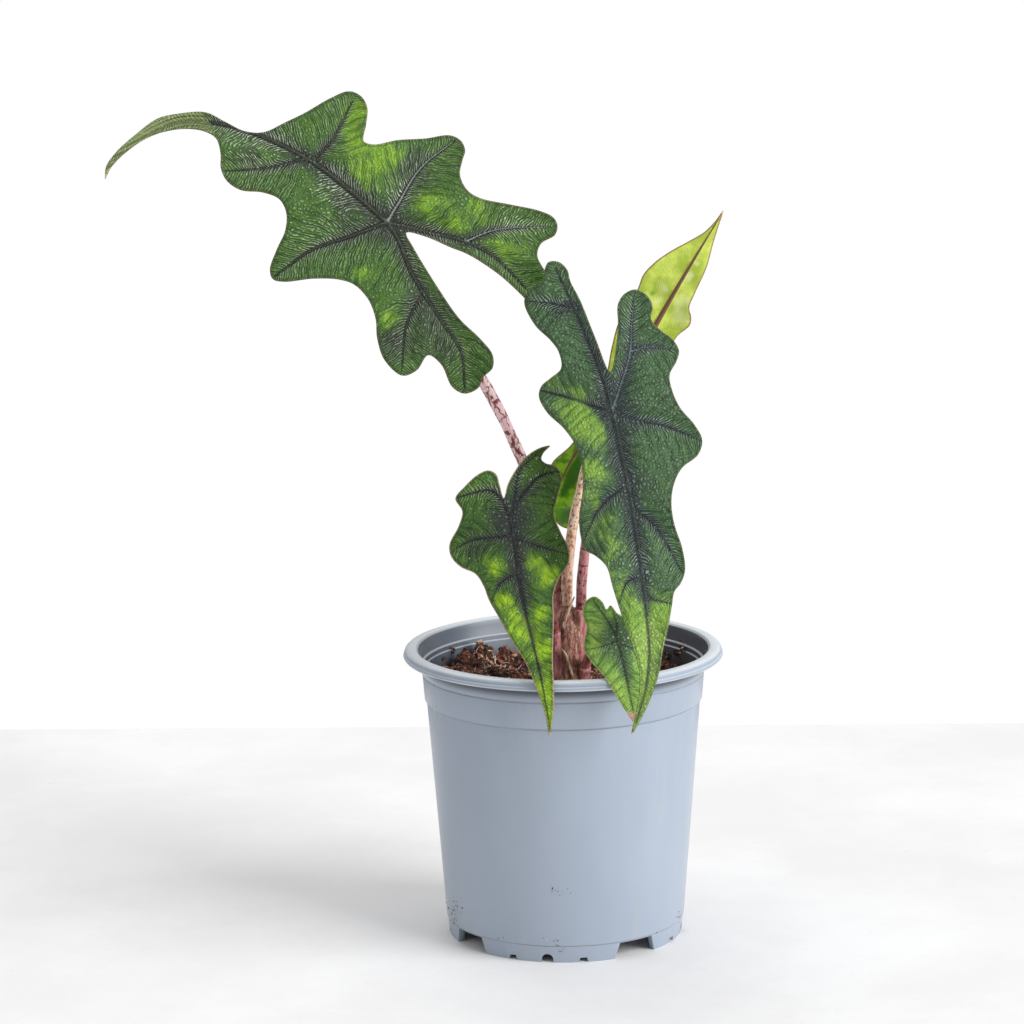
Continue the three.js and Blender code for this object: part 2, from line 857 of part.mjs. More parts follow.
// The blade as a closed geometry: the same triangles on both faces, joined along the edge, with the
// veins as ridges below and grooves above. Extra thickness gives the cutter for its stalk.
function bladeGeometry(leaf, sheet, extra) {
  const { points, triangles, veinLines } = sheet;
  const middle = points.map(([x, z]) => seen(x, z, bladeDepth(leaf, veinLines, x, z)));
  const normals = points.map(() => new THREE.Vector3());
  for (const [a, b, c] of triangles) {
    const left = middle[b].clone().sub(middle[a]);
    const normal = left.cross(middle[c].clone().sub(middle[a]));
    for (const i of [a, b, c]) normals[i].add(normal);
  }
  const position = [];
  for (const back of [0, 1]) {
    points.forEach(([x, z], i) => {
      const vein = nearestVein(veinLines, x, z);
      const relief = Math.max(0, 1 - vein.distance / RIDGE_HALF_WIDTH) * (1 - 0.7 * vein.along);
      const lower = (back === 1) === (leaf.face === 1);
      const change = lower ? RIDGE_HEIGHT * relief : -GROOVE_DEPTH * relief;
      const reach = BLADE_THICKNESS / 2 + extra + change;
      const p = middle[i].clone().addScaledVector(normals[i].normalize(), back ? -reach : reach);
      position.push(p.x, p.y, p.z);
    });
  }
  const count = points.length;
  const index = [];
  const open = new Map();
  for (const [a, b, c] of triangles) {
    index.push(a, b, c, a + count, c + count, b + count);
    for (const [from, to] of [[a, b], [b, c], [c, a]]) {
      if (!open.delete(to + " " + from)) open.set(from + " " + to, [from, to]);
    }
  }
  for (const [from, to] of open.values()) {
    index.push(from, from + count, to + count, from, to + count, to);
  }
  const geometry = new THREE.BufferGeometry();
  geometry.setAttribute("position", new THREE.Float32BufferAttribute(position, 3));
  geometry.setIndex(index);
  geometry.computeVertexNormals();
  return geometry;
}

// The stalk's route from its foot in the crown to the blade's junction, with a radius at each point.
function stalkRoute(leaf, junctionDepth) {
  const last = leaf.stalk.at(-1);
  const route = [...leaf.stalk, [...leaf.junction, junctionDepth, last[3] * 0.9]];
  return {
    curve: new THREE.CatmullRomCurve3(route.map(([x, z, y]) => seen(x, z, y)), false, "centripetal"),
    radii: route.map((point) => point[3]),
  };
}

// A round tube along part of a stalk's route, tapering as the stalk does, closed at both ends.
function tube(route, from, to, extra, endExtra) {
  const { curve, radii } = route;
  const steps = Math.max(3, Math.round((curve.getLength() * (to - from)) / STALK_STEP));
  const position = [];
  const index = [];
  const side = new THREE.Vector3(1, 0, 0);
  for (let step = 0; step <= steps; step++) {
    const t = from + ((to - from) * step) / steps;
    const centre = curve.getPoint(t);
    const direction = curve.getTangent(t);
    const across = side.clone().addScaledVector(direction, -side.dot(direction)).normalize();
    const outward = direction.clone().cross(across);
    const place = t * (radii.length - 1);
    const low = Math.min(radii.length - 2, Math.floor(place));
    const radius = THREE.MathUtils.lerp(radii[low], radii[low + 1], place - low);
    const reach = radius + THREE.MathUtils.lerp(extra, endExtra, step / steps);
    for (let i = 0; i < STALK_SIDES; i++) {
      const angle = (2 * Math.PI * i) / STALK_SIDES;
      const p = centre.clone().addScaledVector(across, reach * Math.cos(angle));
      p.addScaledVector(outward, reach * Math.sin(angle));
      position.push(p.x, p.y, p.z);
      if (step < steps) {
        const [a, b] = [step * STALK_SIDES + i, step * STALK_SIDES + ((i + 1) % STALK_SIDES)];
        index.push(a, b, b + STALK_SIDES, a, b + STALK_SIDES, a + STALK_SIDES);
      }
    }
  }
  const top = steps * STALK_SIDES;
  for (let i = 1; i + 1 < STALK_SIDES; i++) {
    index.push(0, i + 1, i, top, top + i, top + i + 1);
  }
  const geometry = new THREE.BufferGeometry();
  geometry.setAttribute("position", new THREE.Float32BufferAttribute(position, 3));
  geometry.setIndex(index);
  return geometry;
}

// Where along a stalk's route it reaches a height.
function routeAtHeight(route, height) {
  let t = 0;
  while (t < 1 && route.curve.getPoint(t).z < height) t += 0.005;
  return t;
}

function leafPieces(leaf) {
  const sheet = bladeSheet(leaf);
  const junctionDepth = bladeDepth(leaf, sheet.veinLines, ...leaf.junction);
  const route = stalkRoute(leaf, junctionDepth);
  const sheathTop = routeAtHeight(route, leaf.sheathTop);
  const foot = sheathTop + GAP / route.curve.getLength();
  const cutter = solidOf(bladeGeometry(leaf, sheet, GAP));
  const stalk = solidOf(tube(route, foot, 1, 0, 0)).subtract(cutter);
  const blade = solidOf(bladeGeometry(leaf, sheet, 0));
  return {
    sheath: solidOf(tube(route, 0, sheathTop, SHEATH_WALL, SHEATH_LIP)),
    meshes: [
      piece(leaf.name + "_stalk", geometryOf(stalk), leaf.stalkColour, 0.55),
      piece(leaf.name + "_blade", geometryOf(blade), leaf.bladeColour, 0.5),
    ],
  };
}

// The crown with the sheathed foot of each stalk. A stalk stands on the end of its sheath.
function stemBase(leaves) {
  const body = leaves.reduce((whole, { sheath }) => whole.add(sheath), crownSolid(0, false));
  return piece("stem_base", geometryOf(body), 0x9a6a5c, 0.7);
}

const leaves = LEAVES.map(leafPieces);
const plant = new THREE.Group();
plant.add(pot(), soil(), stemBase(leaves), ...leaves.flatMap((leaf) => leaf.meshes));

// The middle of the whole plant's box stands over the origin.
const box = new THREE.Box3().setFromObject(plant);
const middle = box.getCenter(new THREE.Vector3());
plant.position.set(-middle.x, -middle.y, 0);

export default plant;
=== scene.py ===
"""Looks of a potted jacklyn alocasia: a nursery pot, its potting soil and a young plant of five leaves.

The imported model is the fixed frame, and each piece made here stands for one of its nodes. Sizes are
millimetres from the pot's own axis, and sizes in a finish are the shader's metres. A mesh gets the frame's
metres when it is made.
"""

import logging
import math
import random
from dataclasses import dataclass, fields
from enum import Enum

import bpy
import numpy as np
from mathutils import Matrix, Vector
from mathutils.geometry import delaunay_2d_cdt


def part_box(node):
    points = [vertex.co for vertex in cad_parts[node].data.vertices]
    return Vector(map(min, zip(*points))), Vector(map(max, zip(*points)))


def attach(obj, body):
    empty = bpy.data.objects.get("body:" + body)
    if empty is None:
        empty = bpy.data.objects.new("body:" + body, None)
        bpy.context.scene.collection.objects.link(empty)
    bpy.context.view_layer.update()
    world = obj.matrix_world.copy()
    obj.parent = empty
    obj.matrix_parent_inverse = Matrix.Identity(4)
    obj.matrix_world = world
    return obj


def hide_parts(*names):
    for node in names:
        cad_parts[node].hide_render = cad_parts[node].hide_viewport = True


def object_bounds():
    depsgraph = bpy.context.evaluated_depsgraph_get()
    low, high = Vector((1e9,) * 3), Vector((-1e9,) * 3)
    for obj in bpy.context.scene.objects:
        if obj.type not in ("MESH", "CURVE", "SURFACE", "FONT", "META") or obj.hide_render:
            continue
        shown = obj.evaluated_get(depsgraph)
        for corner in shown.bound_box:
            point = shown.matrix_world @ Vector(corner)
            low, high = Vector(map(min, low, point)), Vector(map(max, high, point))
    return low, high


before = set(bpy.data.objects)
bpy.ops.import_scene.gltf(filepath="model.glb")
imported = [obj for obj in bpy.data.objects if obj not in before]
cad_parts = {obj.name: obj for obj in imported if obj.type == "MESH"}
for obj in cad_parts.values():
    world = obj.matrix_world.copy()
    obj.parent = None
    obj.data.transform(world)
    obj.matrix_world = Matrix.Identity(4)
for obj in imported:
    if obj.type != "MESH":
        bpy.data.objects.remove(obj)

CAD_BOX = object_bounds()
MM = 0.001
POT_LOW, POT_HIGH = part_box("pot")
AXIS = np.array([(POT_LOW[0] + POT_HIGH[0]) / 2, (POT_LOW[1] + POT_HIGH[1]) / 2, 0.0]) / MM

# Outlines, veins and stalks are drawn on the upright plane through the pot's axis, as they look from here.
EYE = np.array([-18.5, -1275.0, 405.0])

# The crown's middle across the pot, and how narrow it is from side to side.
CROWN_MIDDLE = (2.2, -1.4)
CROWN_NARROW = 0.88

# A distance that is past any vein, and one in half widths of a vein at which none shows.
FAR = 1e6
NO_CORD = 9.0

# The range of the random angles, about a full turn.
ANY_ANGLE = 6.3

Array = np.ndarray
Colour = tuple[float, float, float]
Point = tuple[float, float]

# A spot is a place and a size, or a place in space. A stop has four numbers, which its field explains.
Spot = tuple[float, float, float]
Stop = tuple[float, ...]

Socket = bpy.types.NodeSocket
Piece = bpy.types.Object
Material = bpy.types.Material

log = logging.getLogger("alocasia")


def srgb(red: float, green: float, blue: float) -> Colour:
    """A colour as it is seen, in 0 to 255, as the linear colour that a shader takes.

    Args:
        red: how much red shows.
        green: how much green shows.
        blue: how much blue shows.

    Returns:
        The linear colour.
    """
    shares = (red / 255, green / 255, blue / 255)
    return tuple(s / 12.92 if s <= 0.04045 else ((s + 0.055) / 1.055) ** 2.4 for s in shares)


def smoothstep(value: Array, low: float, high: float) -> Array:
    """Rises from 0 at low to 1 at high, without corners.

    Args:
        value: the values to turn into shares.
        low: where the rise starts.
        high: where it ends.

    Returns:
        A share from 0 to 1 for each value.
    """
    share = np.clip((value - low) / (high - low), 0, 1)
    return share * share * (3 - 2 * share)


def wander(places: Array, size: float, seed: float = 0.0) -> Array:
    """A smooth unevenness from a few crossed waves, between about -1 and 1.

    Args:
        places: points, with two or three coordinates each.
        size: how far apart its rises are.
        seed: another value gives another unevenness.

    Returns:
        One value a point.
    """
    total = np.zeros(len(places))
    for turn in range(5):
        angle = 2.4 * turn + seed
        aim = np.array([math.cos(angle), math.sin(angle), math.sin(2.1 * angle + 1)])[: places.shape[1]]
        total += np.sin(places @ aim * (6.0 + 1.7 * turn) / size / 2 + 3.1 * turn + seed)
    return total / 3


def spline(points: Array, closed: bool = False, per_span: int = 24) -> Array:
    """A smooth line through points, as a centripetal Catmull-Rom curve.

    Args:
        points: the points that it passes, one a row.
        closed: whether it comes round to its first point.
        per_span: how many steps it takes between two points.

    Returns:
        The points of the line. A closed one doesn't repeat its first point.
    """
    points = np.asarray(points, float)
    if closed:
        whole = np.vstack([points[-1:], points, points[:2]])
    else:
        whole = np.vstack([2 * points[:1] - points[1:2], points, 2 * points[-1:] - points[-2:-1]])
    share = np.linspace(0, 1, per_span, endpoint=False)[:, None]
    spans = []
    for before, start, end, after in zip(whole[:-3], whole[1:-2], whole[2:-1], whole[3:]):
        first, middle, last = (
            math.sqrt(np.linalg.norm(b - a)) for a, b in ((before, start), (start, end), (end, after))
        )
        leave = (start - before) / first - (end - before) / (first + middle) + (end - start) / middle
        arrive = (end - start) / middle - (after - start) / (middle + last) + (after - end) / last
        leave, arrive = leave * middle, arrive * middle
        square = -3 * start + 3 * end - 2 * leave - arrive
        cube = 2 * start - 2 * end + leave + arrive
        spans.append(start + leave * share + square * share**2 + cube * share**3)
    if not closed:
        spans.append(points[-1:])
    return np.vstack(spans)


def closed_up(loop: Array) -> Array:
    """A loop with its first point again at its end."""
    return np.vstack([loop, loop[:1]])


def runs(line: Array) -> Array:
    """How far along a line each of its points lies."""
    return np.concatenate([[0], np.cumsum(np.linalg.norm(np.diff(line, axis=0), axis=1))])


def at_runs(line: Array, stops: Array) -> Array:
    """The places of a line that lie at given distances along it."""
    return np.column_stack([np.interp(stops, runs(line), line[:, axis]) for axis in range(line.shape[1])])


def even_line(points: Array, step: float, closed: bool = False) -> Array:
    """A smooth line through points with its own points evenly spaced.

    Args:
        points: the points that it passes.
        step: about how far apart its points are.
        closed: whether it comes round to its first point.

    Returns:
        The points of the line. A closed one doesn't repeat its first point.
    """
    line = spline(points, closed)
    if closed:
        line = closed_up(line)
    length = runs(line)[-1]
    even = at_runs(line, np.linspace(0, length, max(3, round(length / step) + 1)))
    return even[:-1] if closed else even


def nearest_on(line: Array, places: Array) -> tuple[Array, Array, Array]:
    """Finds the nearest place of a line to each point.

    Args:
        line: the line's points.
        places: the points that are measured.

    Returns:
        The distance to the line, the run along it to the nearest place, and the side of it, 1 or -1.
    """
    best = np.full(len(places), np.inf)
    run = np.zeros(len(places))
    side = np.ones(len(places))
    passed = 0.0
    for start, end in zip(line[:-1], line[1:]):
        step = end - start
        length = np.linalg.norm(step)
        reach = places - start
        share = np.clip(reach @ step / length**2, 0, 1)
        gap = np.sum((reach - share[:, None] * step) ** 2, axis=1)
        closer = gap < best
        best[closer] = gap[closer]
        run[closer] = passed + share[closer] * length
        side[closer] = np.sign(step[0] * reach[closer, 1] - step[1] * reach[closer, 0])
        passed += length
    return np.sqrt(best), run, side


def inside(loop: Array, places: Array) -> Array:
    """Says which points lie inside a closed outline.

    Args:
        loop: the outline's points.
        places: the points that are asked about.

    Returns:
        True for each point inside.
    """
    odd = np.zeros(len(places), bool)
    for (ax, ay), (bx, by) in zip(loop, np.roll(loop, -1, axis=0)):
        if ay == by:
            continue
        level = (ay > places[:, 1]) != (by > places[:, 1])
        odd ^= level & (places[:, 0] < (bx - ax) * (places[:, 1] - ay) / (by - ay) + ax)
    return odd


def seen(drawn: Array, depth: Array) -> Array:
    """Moves points of the drawing plane along their lines of sight, each to its own depth.

    Args:
        drawn: points of the plane, right and up.
        depth: how far behind the plane each one lies.

    Returns:
        The points in space.
    """
    scale = (depth - EYE[1]) / -EYE[1]
    right = EYE[0] + (drawn[:, 0] - EYE[0]) * scale
    up = EYE[2] + (drawn[:, 1] - EYE[2]) * scale
    return np.column_stack([right, depth, up])


def in_frame(points: Array) -> Array:
    """Millimetres from the pot's axis as metres of the frame, kept inside the model's box."""
    return np.clip((points + AXIS) * MM, CAD_BOX[0], CAD_BOX[1])


def deselect() -> None:
    """Leaves edit mode and deselects everything."""
    if bpy.context.object and bpy.context.object.mode != "OBJECT":
        bpy.ops.object.mode_set(mode="OBJECT")
    bpy.ops.object.select_all(action="DESELECT")


def select_only(*pieces: Piece) -> None:
    """Selects some pieces and nothing else.

    Args:
        pieces: the pieces. The first becomes the active one.
    """
    deselect()
    for piece in pieces:
        piece.select_set(True)
    bpy.context.view_layer.objects.active = pieces[0]


def mesh_piece(name: str, points: Array, faces: Array) -> Piece:
    """Makes an object from points and faces.

    Args:
        name: its name.
        points: its points, in millimetres from the pot's axis.
        faces: the points of each face, counter-clockwise from outside.

    Returns:
        The object, smooth shaded.
    """
    deselect()
    mesh = bpy.data.meshes.new(name)
    mesh.from_pydata(in_frame(points).tolist(), [], faces.tolist())
    mesh.shade_smooth()
    piece = bpy.data.objects.new(name, mesh)
    bpy.context.collection.objects.link(piece)
    return piece


def keep_values(piece: Piece, values: dict[str, Array]) -> None:
    """Stores values on a piece's points, for its finish to read.

    Args:
        piece: the object.
        values: for each name, one number or one row of three numbers a point.
    """
    for name, value in values.items():
        vector = value.ndim == 2
        layer = piece.data.attributes.new(name, "FLOAT_VECTOR" if vector else "FLOAT", "POINT")
        layer.data.foreach_set("vector" if vector else "value", value.astype(np.float32).ravel())


def points_of(piece: Piece) -> Array:
    """Reads a piece's points.

    Args:
        piece: the object.

    Returns:
        The points, in millimetres from the pot's axis.
    """
    flat = np.empty(3 * len(piece.data.vertices), np.float32)
    piece.data.vertices.foreach_get("co", flat)
    return flat.reshape(-1, 3).astype(float) / MM - AXIS


def move_points(piece: Piece, points: Array) -> None:
    """Gives a piece's points new places, in millimetres from the pot's axis."""
    piece.data.vertices.foreach_set("co", in_frame(points).astype(np.float32).ravel())
    piece.data.update()


def settle(piece: Piece, name: str) -> Piece:
    """Names a piece and puts its place, turn and scale into its mesh.

    Args:
        piece: the object.
        name: its name.

    Returns:
        The same object, at the origin.
    """
    select_only(piece)
    bpy.ops.object.transform_apply(location=True, rotation=True, scale=True)
    piece.name = name
    piece.data.name = name
    return piece


def turned(name: str, profile: Array, middle: Point, sides: int) -> Piece:
    """Turns a profile round an upright axis, and closes it with a flat disc at each end.

    Args:
        name: the piece's name.
        profile: the radius and the height of each ring.
        middle: where the axis stands across the pot.
        sides: how many sides a ring has.

    Returns:
        The closed body.
    """
    deselect()
    x, y, _ = (np.array([*middle, 0.0]) + AXIS) * MM
    radius, height = profile[0]
    bpy.ops.mesh.primitive_circle_add(
        vertices=sides, radius=radius * MM, fill_type="NGON", location=(x, y, height * MM)
    )
    bpy.ops.object.mode_set(mode="EDIT")
    bpy.ops.mesh.select_mode(type="EDGE")
    bpy.ops.mesh.select_all(action="SELECT")
    for next_radius, next_height in profile[1:]:
        rise = {"value": (0, 0, (next_height - height) * MM)}
        bpy.ops.mesh.extrude_edges_move(TRANSFORM_OT_translate=rise)
        grow = next_radius / radius
        bpy.ops.transform.resize(value=(grow, grow, 1), center_override=(x, y, next_height * MM))
        radius, height = next_radius, next_height
    bpy.ops.mesh.edge_face_add()
    bpy.ops.mesh.select_all(action="SELECT")
    bpy.ops.mesh.normals_make_consistent(inside=False)
    return settle(bpy.context.object, name)


def swept(name: str, lines: list[tuple[Array, Array]], roundness: int) -> Piece:
    """Sweeps round sections along lines and makes them one mesh.

    Args:
        name: the piece's name.
        lines: the points of each line, and the radius at each point.
        roundness: how finely the sections are rounded.

    Returns:
        The closed tubes, smooth shaded.
    """
    curve = bpy.data.curves.new(name, "CURVE")
    curve.dimensions = "3D"
    curve.bevel_depth = 1.0
    curve.bevel_resolution = roundness
    curve.use_fill_caps = True
    for places, radii in lines:
        path = curve.splines.new("POLY")
        path.points.add(len(places) - 1)
        for point, place, radius in zip(path.points, in_frame(places), radii):
            point.co = (*place, 1.0)
            point.radius = radius * MM
    piece = bpy.data.objects.new(name, curve)
    bpy.context.collection.objects.link(piece)
    select_only(piece)
    bpy.ops.object.convert(target="MESH")
    piece.data.shade_smooth()
    return piece


def finish_piece(piece: Piece, material: Material, slot: str, *nodes: str) -> None:
    """Dresses a piece, makes it ride on the body and says which nodes it stands for.

    Args:
        piece: the object.
        material: its finish.
        slot: the record's material slot; not used.
        nodes: the CAD nodes that it replaces.
    """
    piece.data.materials.clear()
    piece.data.materials.append(material)
    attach(piece, "root")
    if nodes:
        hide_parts(*nodes)
    triangles = sum(len(face.vertices) - 2 for face in piece.data.polygons)
    log.info("%s: %d triangles, stands for %s", piece.name, triangles, ", ".join(nodes) or "no node")


class Recipe:
    """A finish's node tree, built one node at a time around one principled shader."""

    def __init__(self, name: str) -> None:
        """Starts a new material.

        Args:
            name: the finish's name.
        """
        self.material = bpy.data.materials.new(name)
        self.material.use_nodes = True
        self.tree = self.material.node_tree
        self.shader = self.tree.nodes["Principled BSDF"]

    def node(self, kind: str, inputs: dict[str | int, object], **settings: object) -> bpy.types.Node:
        """Adds one node.

        Args:
            kind: the node's type, without its ShaderNode start.
            inputs: for each input, a socket to link or a value to set.
            settings: the node's own properties.

        Returns:
            The node.
        """
        made = self.tree.nodes.new("ShaderNode" + kind)
        for name, value in settings.items():
            setattr(made, name, value)
        for name, value in inputs.items():
            self.put(made.inputs[name], value)
        return made

    def put(self, socket: Socket, value: object) -> None:
        """Gives an input its value.

        Args:
            socket: the input.
            value: a socket to link or a value to set.
        """
        if isinstance(value, bpy.types.NodeSocket):
            self.tree.links.new(value, socket)
        else:
            socket.default_value = value

    def place(self) -> Socket:
        """The piece's own coordinates, in metres."""
        return self.node("TexCoord", {}).outputs["Object"]

    def value(self, name: str) -> Socket:
        """A number kept on the piece's points."""
        return self.node("Attribute", {}, attribute_name=name).outputs["Fac"]

    def vector(self, name: str) -> Socket:
        """A row of three numbers kept on the piece's points."""
        return self.node("Attribute", {}, attribute_name=name).outputs["Vector"]

    def math(self, operation: str, first: object, second: object = 0.0) -> Socket:
        """One sum on numbers.

        Args:
            operation: the node's name for it.
            first: a socket or a number.
            second: a socket or a number.

        Returns:
            The result.
        """
        return self.node("Math", {0: first, 1: second}, operation=operation).outputs[0]

    def times(self, first: object, second: object) -> Socket:
        """One number times another."""
        return self.math("MULTIPLY", first, second)

    def plus(self, first: object, second: object) -> Socket:
        """One number and another together."""
        return self.math("ADD", first, second)

    def larger(self, first: object, second: object) -> Socket:
        """The larger one of two numbers."""
        return self.math("MAXIMUM", first, second)

    def gap(self, first: object, second: object) -> Socket:
        """How far apart two numbers are."""
        return self.math("ABSOLUTE", self.math("SUBTRACT", first, second))

    def axis(self, vector: Socket, name: str) -> Socket:
        """One number of a vector, by its name X, Y or Z."""
        return self.node("SeparateXYZ", {"Vector": vector}).outputs[name]

    def rise(self, value: object, low: float, high: float, start: float = 0.0, end: float = 1.0) -> Socket:
        """Goes smoothly from start at low to end at high.

        Args:
            value: what it follows.
            low: where it starts to change.
            high: where it stops.
            start: its value up to low.
            end: its value past high.

        Returns:
            The result.
        """
        inputs = {"Value": value, "From Min": low, "From Max": high, "To Min": start, "To Max": end}
        return self.node("MapRange", inputs, interpolation_type="SMOOTHSTEP").outputs[0]

    def mix(self, share: object, first: object, second: object, blend: str = "MIX") -> Socket:
        """Mixes two colours.

        Args:
            share: how much of the second there is.
            first: a socket or a colour.
            second: a socket or a colour.
            blend: how they are mixed.

        Returns:
            The colour.
        """
        pair = [c if isinstance(c, bpy.types.NodeSocket) else (*c, 1.0) for c in (first, second)]
        inputs = {0: share, 6: pair[0], 7: pair[1]}
        return self.node("Mix", inputs, data_type="RGBA", blend_type=blend).outputs[2]

    def tinted(self, colour: object, tint: object) -> Socket:
        """A colour times another one."""
        return self.mix(1.0, colour, tint, "MULTIPLY")

    def noise(
        self, vector: Socket, scale: float, detail: float = 3.0, rough: float = 0.55, upright: float = 1.0
    ) -> Socket:
        """Cloudy noise about 0.5.

        Args:
            vector: the coordinates.
            scale: how fine it is.
            detail: how many finer layers it has.
            rough: how strong those are.
            upright: how fine it is upwards, as a share. Less than 1 draws it out.

        Returns:
            The noise.
        """
        if upright != 1.0:
            vector = self.stretched(vector, (1.0, 1.0, upright))
        inputs = {"Vector": vector, "Scale": scale, "Detail": detail, "Roughness": rough}
        return self.node("TexNoise", inputs).outputs["Fac"]

    def cells(self, vector: Socket, scale: float) -> Socket:
        """Distance from the middle of a cell."""
        return self.node("TexVoronoi", {"Vector": vector, "Scale": scale}).outputs["Distance"]

    def borders(self, vector: Socket, scale: float) -> Socket:
        """Distance from the border of a cell."""
        inputs = {"Vector": vector, "Scale": scale}
        return self.node("TexVoronoi", inputs, feature="DISTANCE_TO_EDGE").outputs["Distance"]

    def stretched(self, vector: Socket, scale: tuple[float, float, float]) -> Socket:
        """The coordinates with each axis scaled."""
        return self.node("Mapping", {"Vector": vector, "Scale": scale}).outputs["Vector"]

    def finish(
        self, colour: object, roughness: object, height: Socket | None = None, distance: float = 0.0
    ) -> Material:
        """Links the colour, the roughness and the fine relief to the shader.

        Args:
            colour: the base colour.
            roughness: the roughness, a socket or a number.
            height: the relief's height, from 0 to 1.
            distance: how deep the relief is, in metres.

        Returns:
            The finished material.
        """
        self.put(self.shader.inputs["Base Color"], colour)
        self.put(self.shader.inputs["Roughness"], roughness)
        if height is not None:
            relief = self.node("Bump", {"Height": height, "Distance": distance, "Strength": 1.0})
            self.put(self.shader.inputs["Normal"], relief.outputs["Normal"])
        return self.material


@dataclass(frozen=True)
class Clouded:
    """Finish of a small plain thing: two tints clouded into each other."""

    name: str
    dark: Colour
    light: Colour
    scale: float
    detail: float
    low: float
    high: float
    upright: float = 1.0
    roughness: float = 0.6

    def material(self) -> Material:
        """Builds the finish.

        Returns:
            The material.
        """
        recipe = Recipe(self.name)
        cloud = recipe.noise(recipe.place(), self.scale, self.detail, upright=self.upright)
        colour = recipe.mix(recipe.rise(cloud, self.low, self.high), self.dark, self.light)
        return recipe.finish(colour, self.roughness)


DRY_SHEATH = Clouded("dry_sheath", srgb(150, 120, 90), srgb(216, 192, 160), 900.0, 4.0, 0.38, 0.6, 0.3)
SAP = Clouded("sap_drop", srgb(226, 214, 200), srgb(246, 242, 236), 900.0, 2.0, 0.4, 0.6, roughness=0.25)
PALE_ROOT = Clouded("pale_root", srgb(166, 138, 112), srgb(232, 222, 208), 500.0, 3.0, 0.35, 0.65)


class Facing(Enum):
    """Which way the upper side of a blade looks."""

    VIEWER = 1
    AWAY = -1


@dataclass(frozen=True)
class LeafShape:
    """One leaf as it is drawn on the upright plane through the pot's axis.

    The blade's depth at the junction is changed by slope (per mm right and up), by lean and curl towards
    the tip, by lean_back on the lobes behind the junction, by fold on both sides of the midrib and by humps
    (x, z, size, depth). Quilt is how far it bulges between its veins. A stalk's stops are x, z, depth and
    radius, and its sheath reaches up to sheath_top. Vein is half a side vein's width, taper the share of it
    that is lost by the vein's end, and pale_veins the veins with a painted highlight, which the young leaf's
    underside leaves out. Dry is how far the dried tip reaches, and furled how far the tip shows its pale
    underside. Glow and dim are the bright patches and the dark ones; on the young leaf's underside the
    bright ones get a painted glossy highlight and the dark ones are painted shade. The sheen patches are the
    ones whose pale strokes are painted highlights.
    """

    name: str
    facing: Facing
    junction: Point
    tip: Point
    depth: float
    slope: Point
    lean: float
    curl: float
    lean_back: float
    fold: float
    quilt: float
    sheath_top: float
    vein: float
    taper: float
    pale_veins: tuple[int, ...]
    dry: float
    furled: float
    humps: tuple[Stop, ...]
    stalk: tuple[Stop, ...]
    edge: tuple[Point, ...]
    veins: tuple[tuple[Point, ...], ...]
    glow: tuple[Spot, ...]
    dim: tuple[Spot, ...]
    painted_sheen: tuple[Spot, ...]


